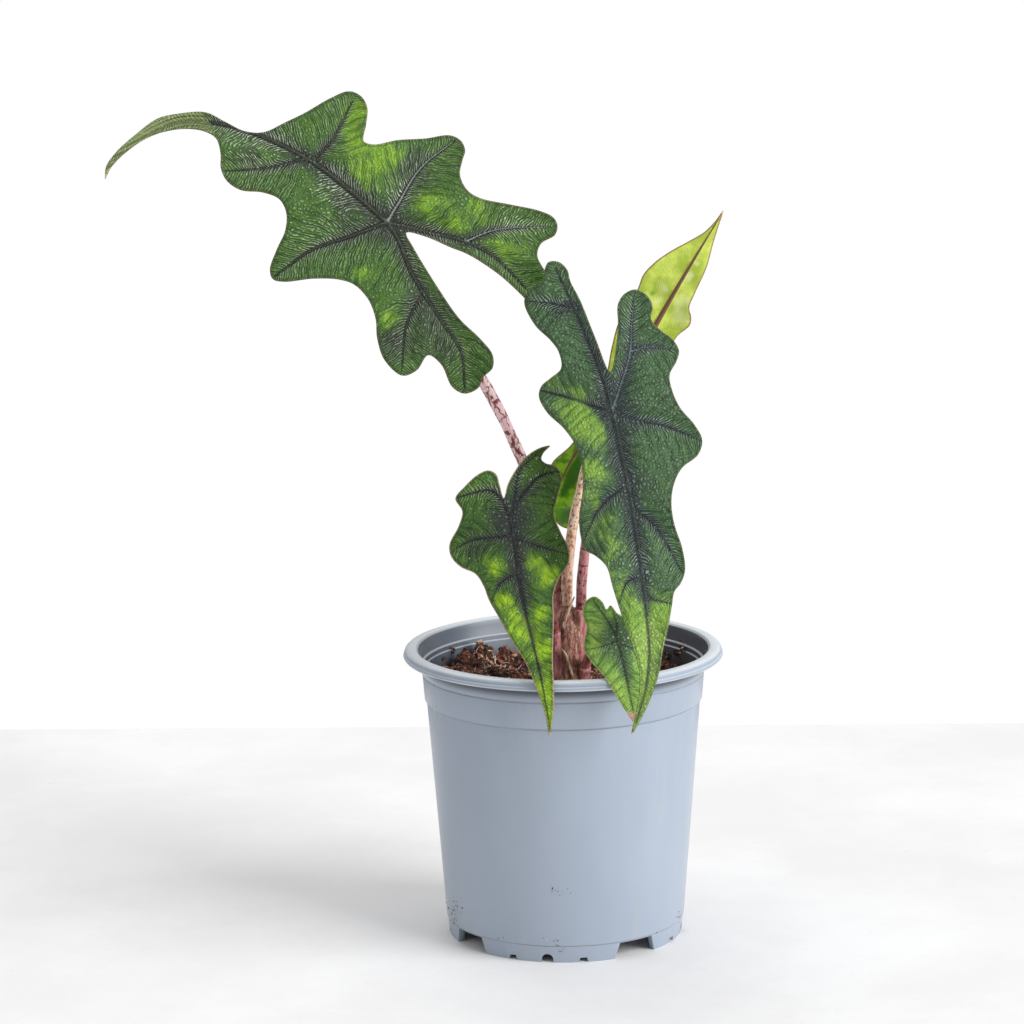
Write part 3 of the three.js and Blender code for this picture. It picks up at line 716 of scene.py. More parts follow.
TOP_LEAF = LeafShape(
    name="top_leaf", facing=Facing.VIEWER, junction=(-63, 270), tip=(-166, 287), depth=8,
    slope=(0, 0.42), lean=0, curl=-0.0006, lean_back=0.14, fold=0.1, quilt=2.2, sheath_top=127,
    vein=0.72, taper=0.6, pale_veins=(1, 7), dry=3, furled=43.5,
    humps=(
        (-75, 312, 9, 3), (-45, 298, 9, 3), (-97, 252, 10, -2), (-34, 210, 10, 3), (-57, 216, 9, -3),
        (-8, 268, 9, 3), (-140, 306, 9, 4), (-165, 290, 8, -5),
    ),
    stalk=(
        (-1.2, 97, 4.5, 2.3), (-1, 117.5, 4.5, 2.3), (-2.5, 144.5, 4.8, 2.2), (-9.5, 167.5, 5, 2.1),
        (-20.5, 194.5, 5.5, 2.1), (-35, 222.5, 7.5, 2), (-49.5, 246.5, 10, 1.9), (-57.5, 261, 10.5, 1.8),
    ),
    edge=(
        (-56, 266), (-49, 264.5), (-40, 260.5), (-33, 257.5), (-22, 250), (-14.5, 243), (-9.5, 238),
        (-4.5, 236.5), (-1.5, 241), (-4, 249), (-8, 257), (-6.5, 261.5), (-1.5, 264.5), (-0.5, 268),
        (-2, 271), (-7, 273.5), (-18, 276), (-29, 278.5), (-33.5, 281.5), (-36, 287), (-35, 292.5),
        (-34, 296), (-35.5, 299.5), (-39.5, 301.5), (-48.5, 300.5), (-58.5, 300), (-67.5, 298.5),
        (-71, 299.8), (-70, 306), (-69.5, 312), (-71.5, 316), (-76, 318), (-83, 315.5), (-92, 310.5),
        (-99.5, 307), (-107.5, 303.5), (-114.5, 304), (-121.5, 307.5), (-128.5, 311), (-138, 310.7),
        (-146, 309), (-154, 303.5), (-161.5, 297), (-165.5, 291.5), (-166, 287), (-163.5, 291.5),
        (-156, 298.3), (-148, 302.8), (-138, 305), (-130, 304.3), (-125, 301.5), (-123.5, 296),
        (-123.5, 290.5), (-121.5, 286), (-116.5, 282.5), (-108.5, 281.5), (-102.5, 279), (-100, 274),
        (-100.5, 267.5), (-104, 260), (-106.5, 253), (-105.5, 249.5), (-101.5, 248.5), (-90.5, 249.5),
        (-81, 249), (-75.5, 247), (-70.5, 241.5), (-68, 234.5), (-67.5, 227), (-65, 219), (-58.5, 213),
        (-53, 215), (-48.8, 220.5), (-44, 217), (-40, 208.5), (-35.5, 206), (-30.5, 208), (-28.5, 212),
        (-25, 215.5), (-25, 220.5), (-29.5, 226.5), (-37, 234), (-45, 246), (-53.5, 260.5),
    ),
    veins=(
        ((-63, 270), (-76.5, 282), (-90, 292.5), (-107, 301.5), (-122.5, 306.5), (-138, 307.8), (-158, 299)),
        ((-63, 270), (-59, 276.5), (-50.5, 289.5), (-38.5, 299)),
        ((-63, 270), (-47.5, 266), (-34.5, 262.5), (-23.5, 256.5), (-13, 245.5)),
        ((-63, 270), (-59, 263.5), (-54, 250.5), (-42.5, 231.5), (-36.5, 221.5), (-35.5, 209)),
        ((-63, 270), (-76.5, 265), (-91, 260), (-104, 251)),
        ((-90, 292.5), (-82, 301), (-75, 314)),
        ((-92.5, 293.5), (-105.5, 290.5), (-121, 289.5)),
        ((-34.5, 262.5), (-23.5, 266.5), (-4, 267.5)),
        ((-51, 242.5), (-56.5, 232), (-58.5, 216)),
    ),
    glow=(
        (-71, 310, 5), (-73, 304.5, 5), (-75.5, 300, 4.5), (-65, 292.5, 6), (-62, 297, 5),
        (-70.5, 286.5, 4), (-46.5, 276, 5), (-72.5, 251, 3), (-63.5, 233, 4), (-19, 259, 5.5),
        (-38, 269.5, 4), (-29.5, 273.5, 4), (-69, 293.5, 5),
    ),
    dim=(
        (-47, 234.5, 9), (-60, 224.5, 7), (-80, 276.5, 5), (-54.5, 286, 8), (-50, 292.5, 5),
        (-91, 293, 5), (-76.5, 280, 6), (-84.5, 287, 5), (-52, 241, 7), (-76.5, 269, 4),
        (-42.5, 222.5, 7), (-62.5, 228, 6), (-112.5, 293.5, 6),
    ),
    painted_sheen=(
        (-112.5, 295, 4), (-93, 269.5, 9), (-83.5, 282, 8), (-60, 280, 6), (-103.5, 300.5, 8),
        (-47.5, 259.5, 7), (-16, 268.5, 8), (-120, 302.5, 8),
    ),
)

RIGHT_LEAF = LeafShape(
    name="right_leaf", facing=Facing.VIEWER, junction=(19, 199), tip=(25.5, 75), depth=-28,
    slope=(0, 0), lean=0.55, curl=0.0013, lean_back=0.3, fold=0.12, quilt=2.4, sheath_top=126, vein=0.6,
    taper=0.6, pale_veins=(2, 8), dry=1.5, furled=0,
    humps=(
        (-8, 206, 9, 2), (50, 187, 10, 3), (-4, 250, 10, -3), (42, 222, 9, 4), (28, 242, 9, -2),
        (8, 150, 9, 2), (45, 138, 9, 3), (27, 84, 10, 3),
    ),
    stalk=(
        (6.4, 97, -3, 2.7), (5.6, 108, -3.5, 2.7), (6.8, 124, -5.5, 2), (8.5, 146.5, -10, 1.8),
        (12, 169, -16.5, 1.7), (16.5, 189, -23, 1.6),
    ),
    edge=(
        (18.5, 213.5), (20.5, 221.5), (21.5, 231), (21.5, 238.5), (24, 242.5), (28, 244), (32.5, 241.5),
        (34.3, 237.5), (33.7, 233), (37, 229), (41.5, 225.5), (44, 221), (43, 217), (40.5, 212),
        (41.5, 206), (44.5, 199.5), (49.5, 193.5), (52.5, 187.5), (51, 182), (45, 177), (42, 171),
        (41, 164), (42, 156), (45, 146.5), (46, 138), (44.3, 133), (42, 130), (41, 124.5), (39.5, 115.5),
        (37.5, 107), (36.5, 100.5), (33.5, 90.5), (29, 80.5), (25.5, 75), (27, 82), (28.5, 90.5),
        (28.5, 100), (26, 109.5), (22, 121.5), (19, 131.5), (16.5, 140), (12.5, 144), (8.5, 146.5),
        (7, 151.5), (6.5, 158.5), (8, 171), (6.5, 183.5), (1.5, 192), (-5, 198.5), (-8, 204.5),
        (-7, 208.5), (-3.5, 211.5), (0.3, 215), (-0.5, 221), (-3.5, 225.5), (-9, 231), (-13, 239.5),
        (-11.3, 244.5), (-6.3, 247.5), (-5.5, 251.5), (-4, 254.5), (0, 254.5), (3, 251.5), (4, 247.5),
        (7.5, 240.5), (13, 226.5),
    ),
    veins=(
        ((19, 199), (21.5, 186), (25, 169), (28.5, 146), (31.5, 122), (32.5, 105.5), (31, 92), (27.5, 80)),
        ((19, 199), (16, 210.5), (12, 221.5), (5, 238.5), (-1, 251.5)),
        ((19, 199), (21.5, 206), (25.5, 219), (26.5, 231), (27.5, 241)),
        ((19, 199), (14.5, 200), (6.5, 203), (-6, 206.5)),
        ((19, 199), (24, 196), (38.5, 193), (50, 188)),
        ((25, 171), (17, 165), (13, 160), (8.5, 150)),
        ((26.5, 162), (35, 155), (44.5, 138)),
        ((5.5, 237.5), (-3.5, 239.5), (-11, 240)),
        ((26, 221), (32.5, 222.5), (42, 221.5)),
        ((30.5, 136), (24.5, 134), (21.5, 126)),
        ((32, 127.5), (40, 125.5)),
    ),
    glow=(
        (5.5, 205.5, 4), (9.5, 194, 5), (13.5, 188, 5), (7.5, 200.5, 4), (12, 176, 4), (14.5, 154.5, 5),
        (18.5, 147, 4), (21.5, 130, 5), (25, 122.5, 5), (33.5, 111.5, 5.5), (29.5, 103, 6),
        (27.5, 92.5, 8), (25.5, 82.5, 8), (29, 87.5, 6), (3.5, 199.5, 5), (7, 192, 4), (14.5, 174.5, 3),
        (34.5, 117.5, 7), (23.5, 111.5, 6), (29, 96, 9), (26.5, 82.5, 9), (10.5, 165.5, 4),
        (18.5, 136.5, 4), (-2.5, 210.5, 4), (33.5, 111.5, 8), (30, 88.5, 7), (36, 122, 6), (31, 106, 8),
    ),
    dim=(
        (28, 171, 6), (25, 191.5, 6), (19, 188, 5), (0, 236.5, 5), (18.5, 229, 5),
    ),
    painted_sheen=(
        (37.5, 199, 8), (27, 232.5, 7), (34.5, 140.5, 8), (20, 142.5, 6), (-4.5, 240.5, 6),
        (32.5, 111.5, 7), (29, 92.5, 6), (23.5, 127, 5), (14.5, 208.5, 5),
    ),
)

LEFT_LEAF = LeafShape(
    name="left_leaf", facing=Facing.VIEWER, junction=(-19, 158), tip=(-5.5, 74.5), depth=-31,
    slope=(0, 0), lean=0.62, curl=0.0022, lean_back=0.35, fold=0.22, quilt=1.5, sheath_top=117,
    vein=0.42, taper=0.65, pale_veins=(), dry=2, furled=0,
    humps=(
        (-40, 148, 9, 4), (-36, 170, 7, -2), (-6, 182, 7, 3), (1, 145, 8, 3), (-5, 85, 9, 2),
    ),
    stalk=(
        (-2.3, 97, -5, 2.2), (-2.2, 108, -6, 2), (-5.5, 127.5, -13, 1.6), (-11, 143, -21, 1.4),
        (-16, 153, -26, 1.3),
    ),
    edge=(
        (-21.5, 166.5), (-20, 171.5), (-17, 177), (-13, 182), (-8, 185.2), (-4, 186), (-6.5, 183.3),
        (-7.3, 180.8), (-5.5, 179.3), (-2, 178.3), (0.3, 174), (-1.3, 167), (-2.8, 160), (-0.5, 153.5),
        (2.5, 147), (2.5, 141.5), (-1, 136), (-3.3, 129.5), (-3.3, 120.5), (-3.8, 104.5), (-3.5, 90.5),
        (-4, 82), (-5.5, 74.5), (-6.7, 82), (-9, 90), (-14, 103), (-19, 111.5), (-24, 121), (-27.5, 127.5),
        (-29.5, 133), (-32.5, 137.7), (-38, 140.5), (-41.5, 144.5), (-42, 149), (-38.5, 156), (-37, 161.5),
        (-39.5, 166.5), (-36, 171), (-31, 175.5), (-27, 177), (-24.2, 175.5), (-23, 171.5),
    ),
    veins=(
        ((-19, 158), (-18, 152.5), (-16, 135), (-14, 123.5), (-11, 110), (-8.5, 98.5), (-5.8, 82)),
        ((-19, 158), (-17, 164), (-14.5, 167.5), (-8, 174.5), (-1.5, 176)),
        ((-19, 158), (-22.5, 166), (-26.5, 169.5), (-38, 167)),
        ((-18, 152.5), (-23, 151.5), (-33.5, 150.5), (-40.5, 146.5)),
        ((-18, 151.5), (-8, 147.5), (1, 145)),
        ((-16.3, 138), (-23.5, 133.5), (-26, 128)),
        ((-18, 161), (-17, 170), (-15.3, 177), (-9, 183)),
    ),
    glow=(
        (-10, 141.5, 3.2), (-5.5, 136, 3.2), (-18, 124, 4), (-10, 121, 4), (-25, 140.5, 3),
        (-22.5, 126.5, 3), (-15.5, 114.5, 5), (-8.5, 107.5, 5.5), (-7, 93.5, 6), (-5.5, 82.5, 6),
    ),
    dim=(
        (-32.5, 148, 7), (-10, 169.5, 4), (-16, 133.5, 5), (-21, 156, 6), (-18.5, 148.5, 5),
    ),
    painted_sheen=(
        (-26.5, 169.5, 9), (-34, 162, 6), (-11.5, 177, 6), (-23, 175, 6),
    ),
)

LOW_LEAF = LeafShape(
    name="low_leaf", facing=Facing.VIEWER, junction=(20.5, 113), tip=(27, 79.5), depth=-49,
    slope=(0, 0), lean=0.62, curl=0.006, lean_back=0.35, fold=0.12, quilt=0.9, sheath_top=104,
    vein=0.36, taper=0.6, pale_veins=(), dry=6, furled=0,
    humps=(
        (9, 115, 6, 2.5), (31, 106, 6, 3),
    ),
    stalk=(
        (6.5, 97, -6, 2), (8.9, 103.5, -10.5, 1.8), (10.7, 107.5, -18, 1.5), (13.5, 110.5, -29, 1.3),
        (17.5, 112.3, -42, 1.2),
    ),
    edge=(
        (16.5, 123.5), (18, 125), (20.5, 122), (24, 119.5), (27.5, 116), (30, 111), (31.3, 104.5),
        (31, 96), (29, 87), (27, 79.5), (23.5, 84), (19.5, 90.5), (15.5, 97.5), (10.5, 103.5), (8, 108),
        (8.2, 112.5), (9, 116.5), (7.6, 121.5), (8.5, 126.3), (12, 128.5), (15, 126.3),
    ),
    veins=(
        ((20.5, 113), (22.5, 104), (24.5, 94), (26.3, 84)),
        ((20.5, 113), (16.5, 120), (12, 126.5)),
        ((20.5, 111.5), (16, 109.3), (9.5, 108)),
        ((20.5, 113), (20.5, 117.5), (19, 122)),
        ((21, 110.5), (24.5, 109), (30, 106)),
    ),
    glow=(
        (13, 117.5, 4), (11, 108, 4), (15.5, 96.5, 5), (22, 90.5, 5), (18.5, 122.5, 3),
    ),
    dim=(
        (19.5, 108, 4),
    ),
    painted_sheen=(
        (14, 115.5, 5), (19.5, 111.5, 5),
    ),
)

YOUNG_LEAF = LeafShape(
    name="young_leaf", facing=Facing.AWAY, junction=(19, 203), tip=(60.5, 273), depth=12, slope=(0, 0),
    lean=0.1, curl=0.0008, lean_back=0.3, fold=-0.25, quilt=1.3, sheath_top=126, vein=0.76, taper=0.88,
    pale_veins=(2, 3, 4), dry=2.5, furled=0,
    humps=(
        (0, 165, 8, 3), (45, 232, 8, 3),
    ),
    stalk=(
        (1.7, 97, -0.5, 2.2), (1.5, 112, -0.5, 2.1), (2, 137, 0.5, 2), (4.5, 158, 2.5, 1.9),
        (6.5, 167, 3.5, 1.6), (8.5, 177.5, 5, 1.2), (13, 191.5, 7.5, 1.1),
    ),
    edge=(
        (60.5, 273), (57.5, 269), (53.5, 265), (47.5, 261.5), (41, 258), (35, 253.8), (31, 249.5),
        (28.5, 243.5), (22.5, 234), (19.3, 223.5), (16.5, 210.5), (9.5, 195), (3.5, 186), (-3, 180),
        (-5, 175.5), (-3.5, 168.5), (-3.5, 160.5), (-1, 156), (4, 154.5), (8, 159.5), (10.5, 176.5),
        (15, 191), (18.5, 200), (21.5, 193.5), (27, 184), (32, 180), (36, 184.5), (36.5, 193.5),
        (38, 206.5), (40, 218.5), (43, 226), (48, 230.5), (48.5, 233.5), (47.8, 237), (50, 242.5),
        (54.3, 252), (56.5, 260), (58.5, 266.5),
    ),
    veins=(
        ((19, 203), (26.5, 214), (36, 232), (47.5, 251.5), (58.5, 269.5)),
        ((19, 203), (12.5, 193.5), (3.5, 180), (0.5, 174), (-1, 171)),
        ((19, 203), (25.5, 193.5), (32.5, 184)),
        ((31.5, 223.5), (39, 229), (46.5, 232)),
        ((26.5, 214), (20.5, 217)),
    ),
    glow=(
        (48.5, 248.5, 1.7), (46.5, 247.5, 1.5), (38, 245, 2.6), (36, 240, 2), (45.5, 238.5, 3),
        (44, 233, 3), (49.5, 254, 1.6),
    ),
    dim=(
        (7, 181, 2.8), (6, 178.5, 3), (5, 176.5, 3), (3.5, 174, 3), (2.5, 171.5, 2.8), (1.5, 169, 2.2),
        (0, 164.5, 1.2), (2.5, 158.5, 2.6), (0, 157, 2.4), (4, 161, 2.2), (33.5, 243.5, 2),
    ),
    painted_sheen=(),
)

LEAVES = (TOP_LEAF, RIGHT_LEAF, LEFT_LEAF, LOW_LEAF, YOUNG_LEAF)


@dataclass(frozen=True)
class BladeSkin:
    """Finish of a blade: dark beside its veins, brighter in patches, with a fine net of raised strokes.

    The strokes have painted shade in their grooves and painted highlights on their crests.
    """

    name: str
    slate: Colour
    green: Colour
    bright: Colour
    # Colour of the painted highlight on the strokes' crests and flecks.
    crest: Colour
    cord: Colour
    flank: Colour
    margin: Colour
    below: Colour
    below_vein: Colour
    crest_share: float = 0.6
    # How strong the painted shade in the strokes' grooves is.
    groove_share: float = 0.62
    stroke_reach: float = 12.0
    margin_width: float = 0.3
    roughness: float = 0.42
    relief: float = 0.0004
    # Colour of the painted highlight on the listed veins.
    pale_cord: Colour = srgb(150, 160, 150)
    pale_tint: float = 0.55
    thin: float = 0.6
    glare: Colour = srgb(188, 216, 112)
    glare_share: float = 0.0
    calm: float = 0.3
    vein_share: float = 1.0
    # Colour of the painted glints: small pale specks.
    speck: Colour = srgb(236, 238, 228)
    speck_share: float = 0.0
    dry: Colour = srgb(212, 174, 144)
    furled: Colour = srgb(136, 152, 94)
    shadow_tint: Colour = (0.2, 0.28, 0.18)
    below_tint: Colour = (0.55, 0.62, 0.30)
    # Tint of the painted shade inside the young leaf's rolled lobe.
    deep_tint: Colour = (0.045, 0.17, 0.04)
    # Tints of the basal lobe's painted shade, mottled.
    leafy_tints: tuple[Colour, Colour] = ((0.11, 0.29, 0.03), (0.34, 0.6, 0.07))
    furled_tint: Colour = (0.36, 0.38, 0.36)
    # How much of the underside's painted shade, painted highlights and left-out veins shows.
    lower_detail: float = 0.0
    # Heights in metres where the basal lobe's painted shade starts and where it is full.
    lobe_top: float = 0.212
    lobe_dark: float = 0.192

    def upper(self, recipe: Recipe) -> tuple[Socket, Socket]:
        """Builds the upper side's colour.

        Args:
            recipe: the material's node tree.

        Returns:
            The colour and the height of the strokes.
        """
        glow = recipe.value("glow")
        cloud = recipe.noise(recipe.place(), 150.0, 4.0, 0.6)
        shade = recipe.larger(recipe.value("shade"), recipe.times(recipe.value("dim"), 0.8))
        shade = recipe.times(shade, recipe.rise(glow, 0.2, 1.0, 1.0, 0.5))
        lit = recipe.times(glow, recipe.rise(cloud, 0.3, 0.6, 0.35, 1.1))
        lit = recipe.plus(lit, recipe.rise(cloud, 0.45, 0.75, 0.0, 0.35))
        colour = recipe.mix(recipe.rise(lit, 0.05, 1.1), self.green, self.bright)
        colour = recipe.mix(recipe.rise(shade, 0.15, 0.95), colour, self.slate)
        # The colour darkened: painted shade in the grooves and valleys, and also the blotches and the line
        # inside the margin.
        dark = recipe.tinted(colour, self.shadow_tint)
        # Painted highlight colour of the crests: pale grey beside the veins, greener away from them.
        pale = recipe.mix(recipe.rise(shade, 0.7, 0.1, 0.0, self.pale_tint), self.crest, self.bright)
        colour, strokes = self.netted(recipe, colour, dark, pale)
        glare = recipe.times(recipe.rise(glow, 0.95, 1.2), self.glare_share)
        glare = recipe.times(glare, recipe.rise(strokes, 0.1, 0.7, 0.35, 1.0))
        colour = recipe.mix(glare, colour, self.glare)
        # Painted glints: small pale specks.
        speck = recipe.rise(recipe.cells(recipe.place(), 260.0), 0.1, 0.06, 0.0, self.speck_share)
        colour = self.veined(recipe, recipe.mix(speck, colour, self.speck))
        rim = recipe.value("rim")
        line = recipe.times(recipe.rise(rim, 0.3, 0.7), recipe.rise(rim, 1.4, 0.9))
        return recipe.mix(recipe.times(line, 0.5), colour, dark), strokes

    def netted(self, recipe: Recipe, colour: Socket, dark: Socket, pale: Socket) -> tuple[Socket, Socket]:
        """Draws the net: painted shade in the grooves and valleys, dark blotches, painted highlights on the
        crests and flecks.

        Args:
            recipe: the material's node tree.
            colour: the colour so far.
            dark: the painted shade colour of the grooves.
            pale: the painted highlight colour of the crests.

        Returns:
            The colour and the height of the strokes.
        """
        strokes, broken = self.strokes(recipe)
        mottle = recipe.noise(recipe.stretched(recipe.vector("net"), (0.8, 0.35, 1.0)), 1.0, 3.0, 0.65)
        # Painted sheen: where the crests' painted highlights are strong.
        painted_sheen = recipe.rise(recipe.value("painted_sheen"), 0.0, 0.9, 0.4, 1.15)
        calm = recipe.rise(recipe.value("glow"), 0.1, 0.8, 1.0, self.calm)
        # Painted shade in the grooves between the raised strokes.
        groove = recipe.times(recipe.rise(strokes, 0.45, 0.08), self.groove_share)
        groove = recipe.times(groove, recipe.rise(mottle, 0.62, 0.4, 0.4, 1.1))
        colour = recipe.mix(recipe.times(groove, calm), colour, dark)
        colour = recipe.mix(recipe.rise(mottle, 0.5, 0.3, 0.0, 0.5), colour, dark)
        # Painted shade in the valleys of the ripples.
        valley_shade = recipe.rise(recipe.value("fold"), -0.35, -0.9, 0.0, 0.6)
        colour = recipe.mix(valley_shade, colour, dark)
        # Painted highlight on the crests of the strokes.
        crest = recipe.times(recipe.times(recipe.rise(strokes, self.thin, 0.93), broken), painted_sheen)
        colour = recipe.mix(recipe.times(crest, self.crest_share), colour, pale)
        # Painted glints: small pale flecks where the sheen is.
        fleck = recipe.rise(recipe.noise(recipe.place(), 1500.0, 2.0), 0.64, 0.74, 0.0, 0.5)
        return recipe.mix(recipe.times(fleck, painted_sheen), colour, self.crest), strokes

    def veined(self, recipe: Recipe, colour: Socket) -> Socket:
        """Draws the main veins with their dark flanks and a painted highlight on the listed veins.

        Args:
            recipe: the material's node tree.
            colour: the colour so far.

        Returns:
            The colour.
        """
        vein = recipe.value("cord")
        share = recipe.times(recipe.rise(recipe.value("glow"), 0.2, 1.0, 1.0, 0.6), self.vein_share)
        flank = recipe.times(recipe.rise(vein, 2.0, 1.0, 0.0, 0.92), share)
        colour = recipe.mix(flank, colour, self.flank)
        # Painted highlight on the listed veins.
        cord = recipe.mix(recipe.value("lit_vein"), self.cord, self.pale_cord)
        return recipe.mix(recipe.times(recipe.rise(vein, 0.75, 0.25), share), colour, cord)

    def strokes(self, recipe: Recipe) -> tuple[Socket, Socket]:
        """Builds the strokes that leave each vein aslant and break up into a net further out.

        Args:
            recipe: the material's node tree.

        Returns:
            The height of the strokes and how whole they are.
        """
        net = recipe.vector("net")
        jitter = recipe.noise(recipe.stretched(net, (0.5, 0.45, 1.0)), 1.0, 2.0)
        turn = recipe.plus(recipe.axis(net, "X"), recipe.times(jitter, 1.7))
        wave = recipe.math("SINE", recipe.times(turn, 2 * math.pi))
        wave = recipe.plus(recipe.times(wave, 0.5), 0.5)
        cell = recipe.rise(recipe.borders(recipe.place(), 700.0), 0.0, 0.4)
        away = recipe.axis(net, "Y")
        reach = self.stroke_reach
        fade = recipe.rise(away, 0.4 * reach, 1.6 * reach, 1.0, 0.2)
        whole = recipe.times(recipe.value("seam"), fade)
        whole = recipe.times(whole, recipe.rise(recipe.value("glow"), 0.4, 1.1, 1.0, self.calm))
        height = recipe.node("Mix", {0: whole, 2: cell, 3: wave}).outputs[0]
        gaps = recipe.noise(recipe.stretched(net, (0.6, 0.85, 1.0)), 1.0, 3.0, 0.6)
        broken = recipe.rise(gaps, 0.42, 0.6, 0.05, 1.0)
        broken = recipe.larger(broken, recipe.rise(away, 4.0, 1.5, 0.0, 0.85))
        return height, broken

    def lower(self, recipe: Recipe) -> Socket:
        """Builds the lower side's colour.

        Args:
            recipe: the material's node tree.

        Returns:
            The colour.
        """
        place = recipe.place()
        dim = recipe.value("dim")
        cloud = recipe.noise(place, 110.0)
        darker = recipe.tinted(self.below, self.below_tint)
        colour = recipe.mix(recipe.rise(cloud, 0.35, 0.7), darker, self.below)
        colour = recipe.mix(recipe.rise(recipe.borders(place, 330.0), 0.09, 0.0, 0.0, 0.2), colour, darker)
        # Painted shade: low down, the young leaf's basal lobe lies in the others' shade and turns a deeper,
        # mottled green.
        lobe_shade = recipe.rise(recipe.axis(place, "Z"), self.lobe_top, self.lobe_dark, 0.0, self.lower_detail)
        lobe_shade = recipe.larger(lobe_shade, recipe.rise(dim, 0.1, 0.8, 0.0, 0.2 * self.lower_detail))
        blotch = recipe.rise(recipe.noise(place, 260.0, 3.0, 0.6), 0.42, 0.6)
        lobe_shade_tint = recipe.mix(blotch, *self.leafy_tints)
        colour = recipe.mix(lobe_shade, colour, recipe.tinted(self.below, lobe_shade_tint))
        # Painted shade: the dark patches make the inside of the rolled lobe deep green.
        deep_shade = recipe.tinted(self.below, self.deep_tint)
        colour = recipe.mix(recipe.rise(dim, 0.55, 1.0, 0.0, self.lower_detail), colour, deep_shade)
        glossy = recipe.rise(recipe.value("glow"), 0.3, 1.1, 0.0, 0.6)
        colour = recipe.mix(recipe.times(glossy, self.lower_detail), colour, self.glare)
        hidden = recipe.times(recipe.value("lit_vein"), self.lower_detail)
        vein = recipe.math("SUBTRACT", recipe.rise(recipe.value("cord"), 1.9, 1.2), hidden)
        return recipe.mix(vein, colour, self.below_vein)

    def lined(self, recipe: Recipe) -> Socket:
        """Builds the colour of the furled tip, with long lines beside its midrib.

        Args:
            recipe: the material's node tree.

        Returns:
            The colour.
        """
        lines = recipe.noise(recipe.stretched(recipe.vector("net"), (0.03, 1.5, 1.0)), 1.0, 3.0, 0.6)
        darker = recipe.tinted(self.furled, self.furled_tint)
        return recipe.mix(recipe.rise(lines, 0.38, 0.58), darker, self.furled)

    def material(self) -> Material:
        """Builds the finish.

        Returns:
            The material.
        """
        recipe = Recipe(self.name)
        upper, strokes = self.upper(recipe)
        colour = recipe.mix(recipe.value("below"), upper, self.lower(recipe))
        edge = recipe.rise(recipe.value("rim"), self.margin_width, 0.4 * self.margin_width)
        colour = recipe.mix(edge, colour, self.margin)
        colour = recipe.mix(recipe.value("furl"), colour, self.lined(recipe))
        torn = recipe.noise(recipe.place(), 420.0, 3.0, 0.6)
        wither = recipe.plus(recipe.value("dry"), recipe.rise(torn, 0.3, 0.7, -0.35, 0.35))
        colour = recipe.mix(recipe.rise(wither, 0.35, 0.6), colour, self.dry)
        gloss = recipe.rise(strokes, 0.2, 0.9, self.roughness + 0.14, self.roughness - 0.06)
        flatter = recipe.mix(recipe.value("below"), (1.0, 1.0, 1.0), (0.08, 0.08, 0.08))
        relief = recipe.times(strokes, flatter)
        return recipe.finish(colour, gloss, relief, self.relief)


BLADE_SKINS = {
    "top_leaf": BladeSkin(
        name="top_blade_skin", slate=srgb(42, 54, 40), green=srgb(66, 107, 26),
        bright=srgb(122, 166, 26), crest=srgb(210, 221, 194), cord=srgb(64, 73, 52),
        flank=srgb(20, 26, 18), margin=srgb(116, 90, 66), below=srgb(134, 150, 100),
        below_vein=srgb(112, 86, 62), groove_share=0.45, pale_tint=0.2, thin=0.68, calm=0.7,
    ),
    "right_leaf": BladeSkin(
        name="right_blade_skin", slate=srgb(38, 51, 52), green=srgb(68, 102, 62),
        bright=srgb(124, 164, 56), crest=srgb(184, 202, 192), cord=srgb(36, 44, 42),
        flank=srgb(50, 64, 61), margin=srgb(112, 106, 66), below=srgb(130, 150, 98),
        below_vein=srgb(108, 82, 64), crest_share=0.45, stroke_reach=4.0, pale_cord=srgb(100, 120, 126),
        calm=0.2, glare_share=0.5,
    ),
    "left_leaf": BladeSkin(
        name="left_blade_skin", slate=srgb(38, 47, 42), green=srgb(66, 110, 26),
        bright=srgb(152, 194, 8), crest=srgb(164, 184, 150), cord=srgb(40, 45, 47),
        flank=srgb(24, 30, 30), margin=srgb(172, 144, 112), below=srgb(130, 150, 94),
        below_vein=srgb(108, 82, 60), crest_share=0.45, groove_share=0.45, stroke_reach=5.0,
        margin_width=0.45, calm=0.15, speck_share=0.6,
    ),
    "low_leaf": BladeSkin(
        name="low_blade_skin", slate=srgb(76, 108, 68), green=srgb(146, 196, 90),
        bright=srgb(176, 216, 92), crest=srgb(214, 230, 188), cord=srgb(50, 64, 54),
        flank=srgb(36, 52, 40), margin=srgb(186, 190, 120), below=srgb(140, 164, 100),
        below_vein=srgb(112, 92, 66), crest_share=0.3, groove_share=0.22, stroke_reach=4.0,
        vein_share=0.6, speck_share=0.85,
    ),
    "young_leaf": BladeSkin(
        name="young_blade_skin", slate=srgb(78, 104, 48), green=srgb(118, 150, 50),
        bright=srgb(160, 190, 56), crest=srgb(176, 200, 110), cord=srgb(90, 100, 60),
        flank=srgb(66, 78, 40), margin=srgb(146, 112, 66), margin_width=0.6, glare=srgb(232, 240, 178),
        below=srgb(212, 228, 100), below_vein=srgb(110, 72, 52), lower_detail=1.0, roughness=0.34,
    ),
}


@dataclass
class Fields:
    """What each place of a blade knows about its veins and its edge."""

    near: Array
    run: Array
    strand: Array
    cord: Array
    ridge: Array
    shade: Array
    rim: Array
    glow: Array
    seam: Array
    turn: Array
    painted_sheen: Array
    dim: Array
    dry: Array
    furl: Array
    lit_vein: Array

    @classmethod
    def blank(cls, count: int) -> "Fields":
        """Starts the values of places that lie far from every vein.

        Args:
            count: how many places there are.

        Returns:
            The values.
        """
        made = cls(*(np.zeros(count) for _ in fields(cls)))
        made.near += FAR
        made.seam += FAR
        made.cord += NO_CORD
        return made


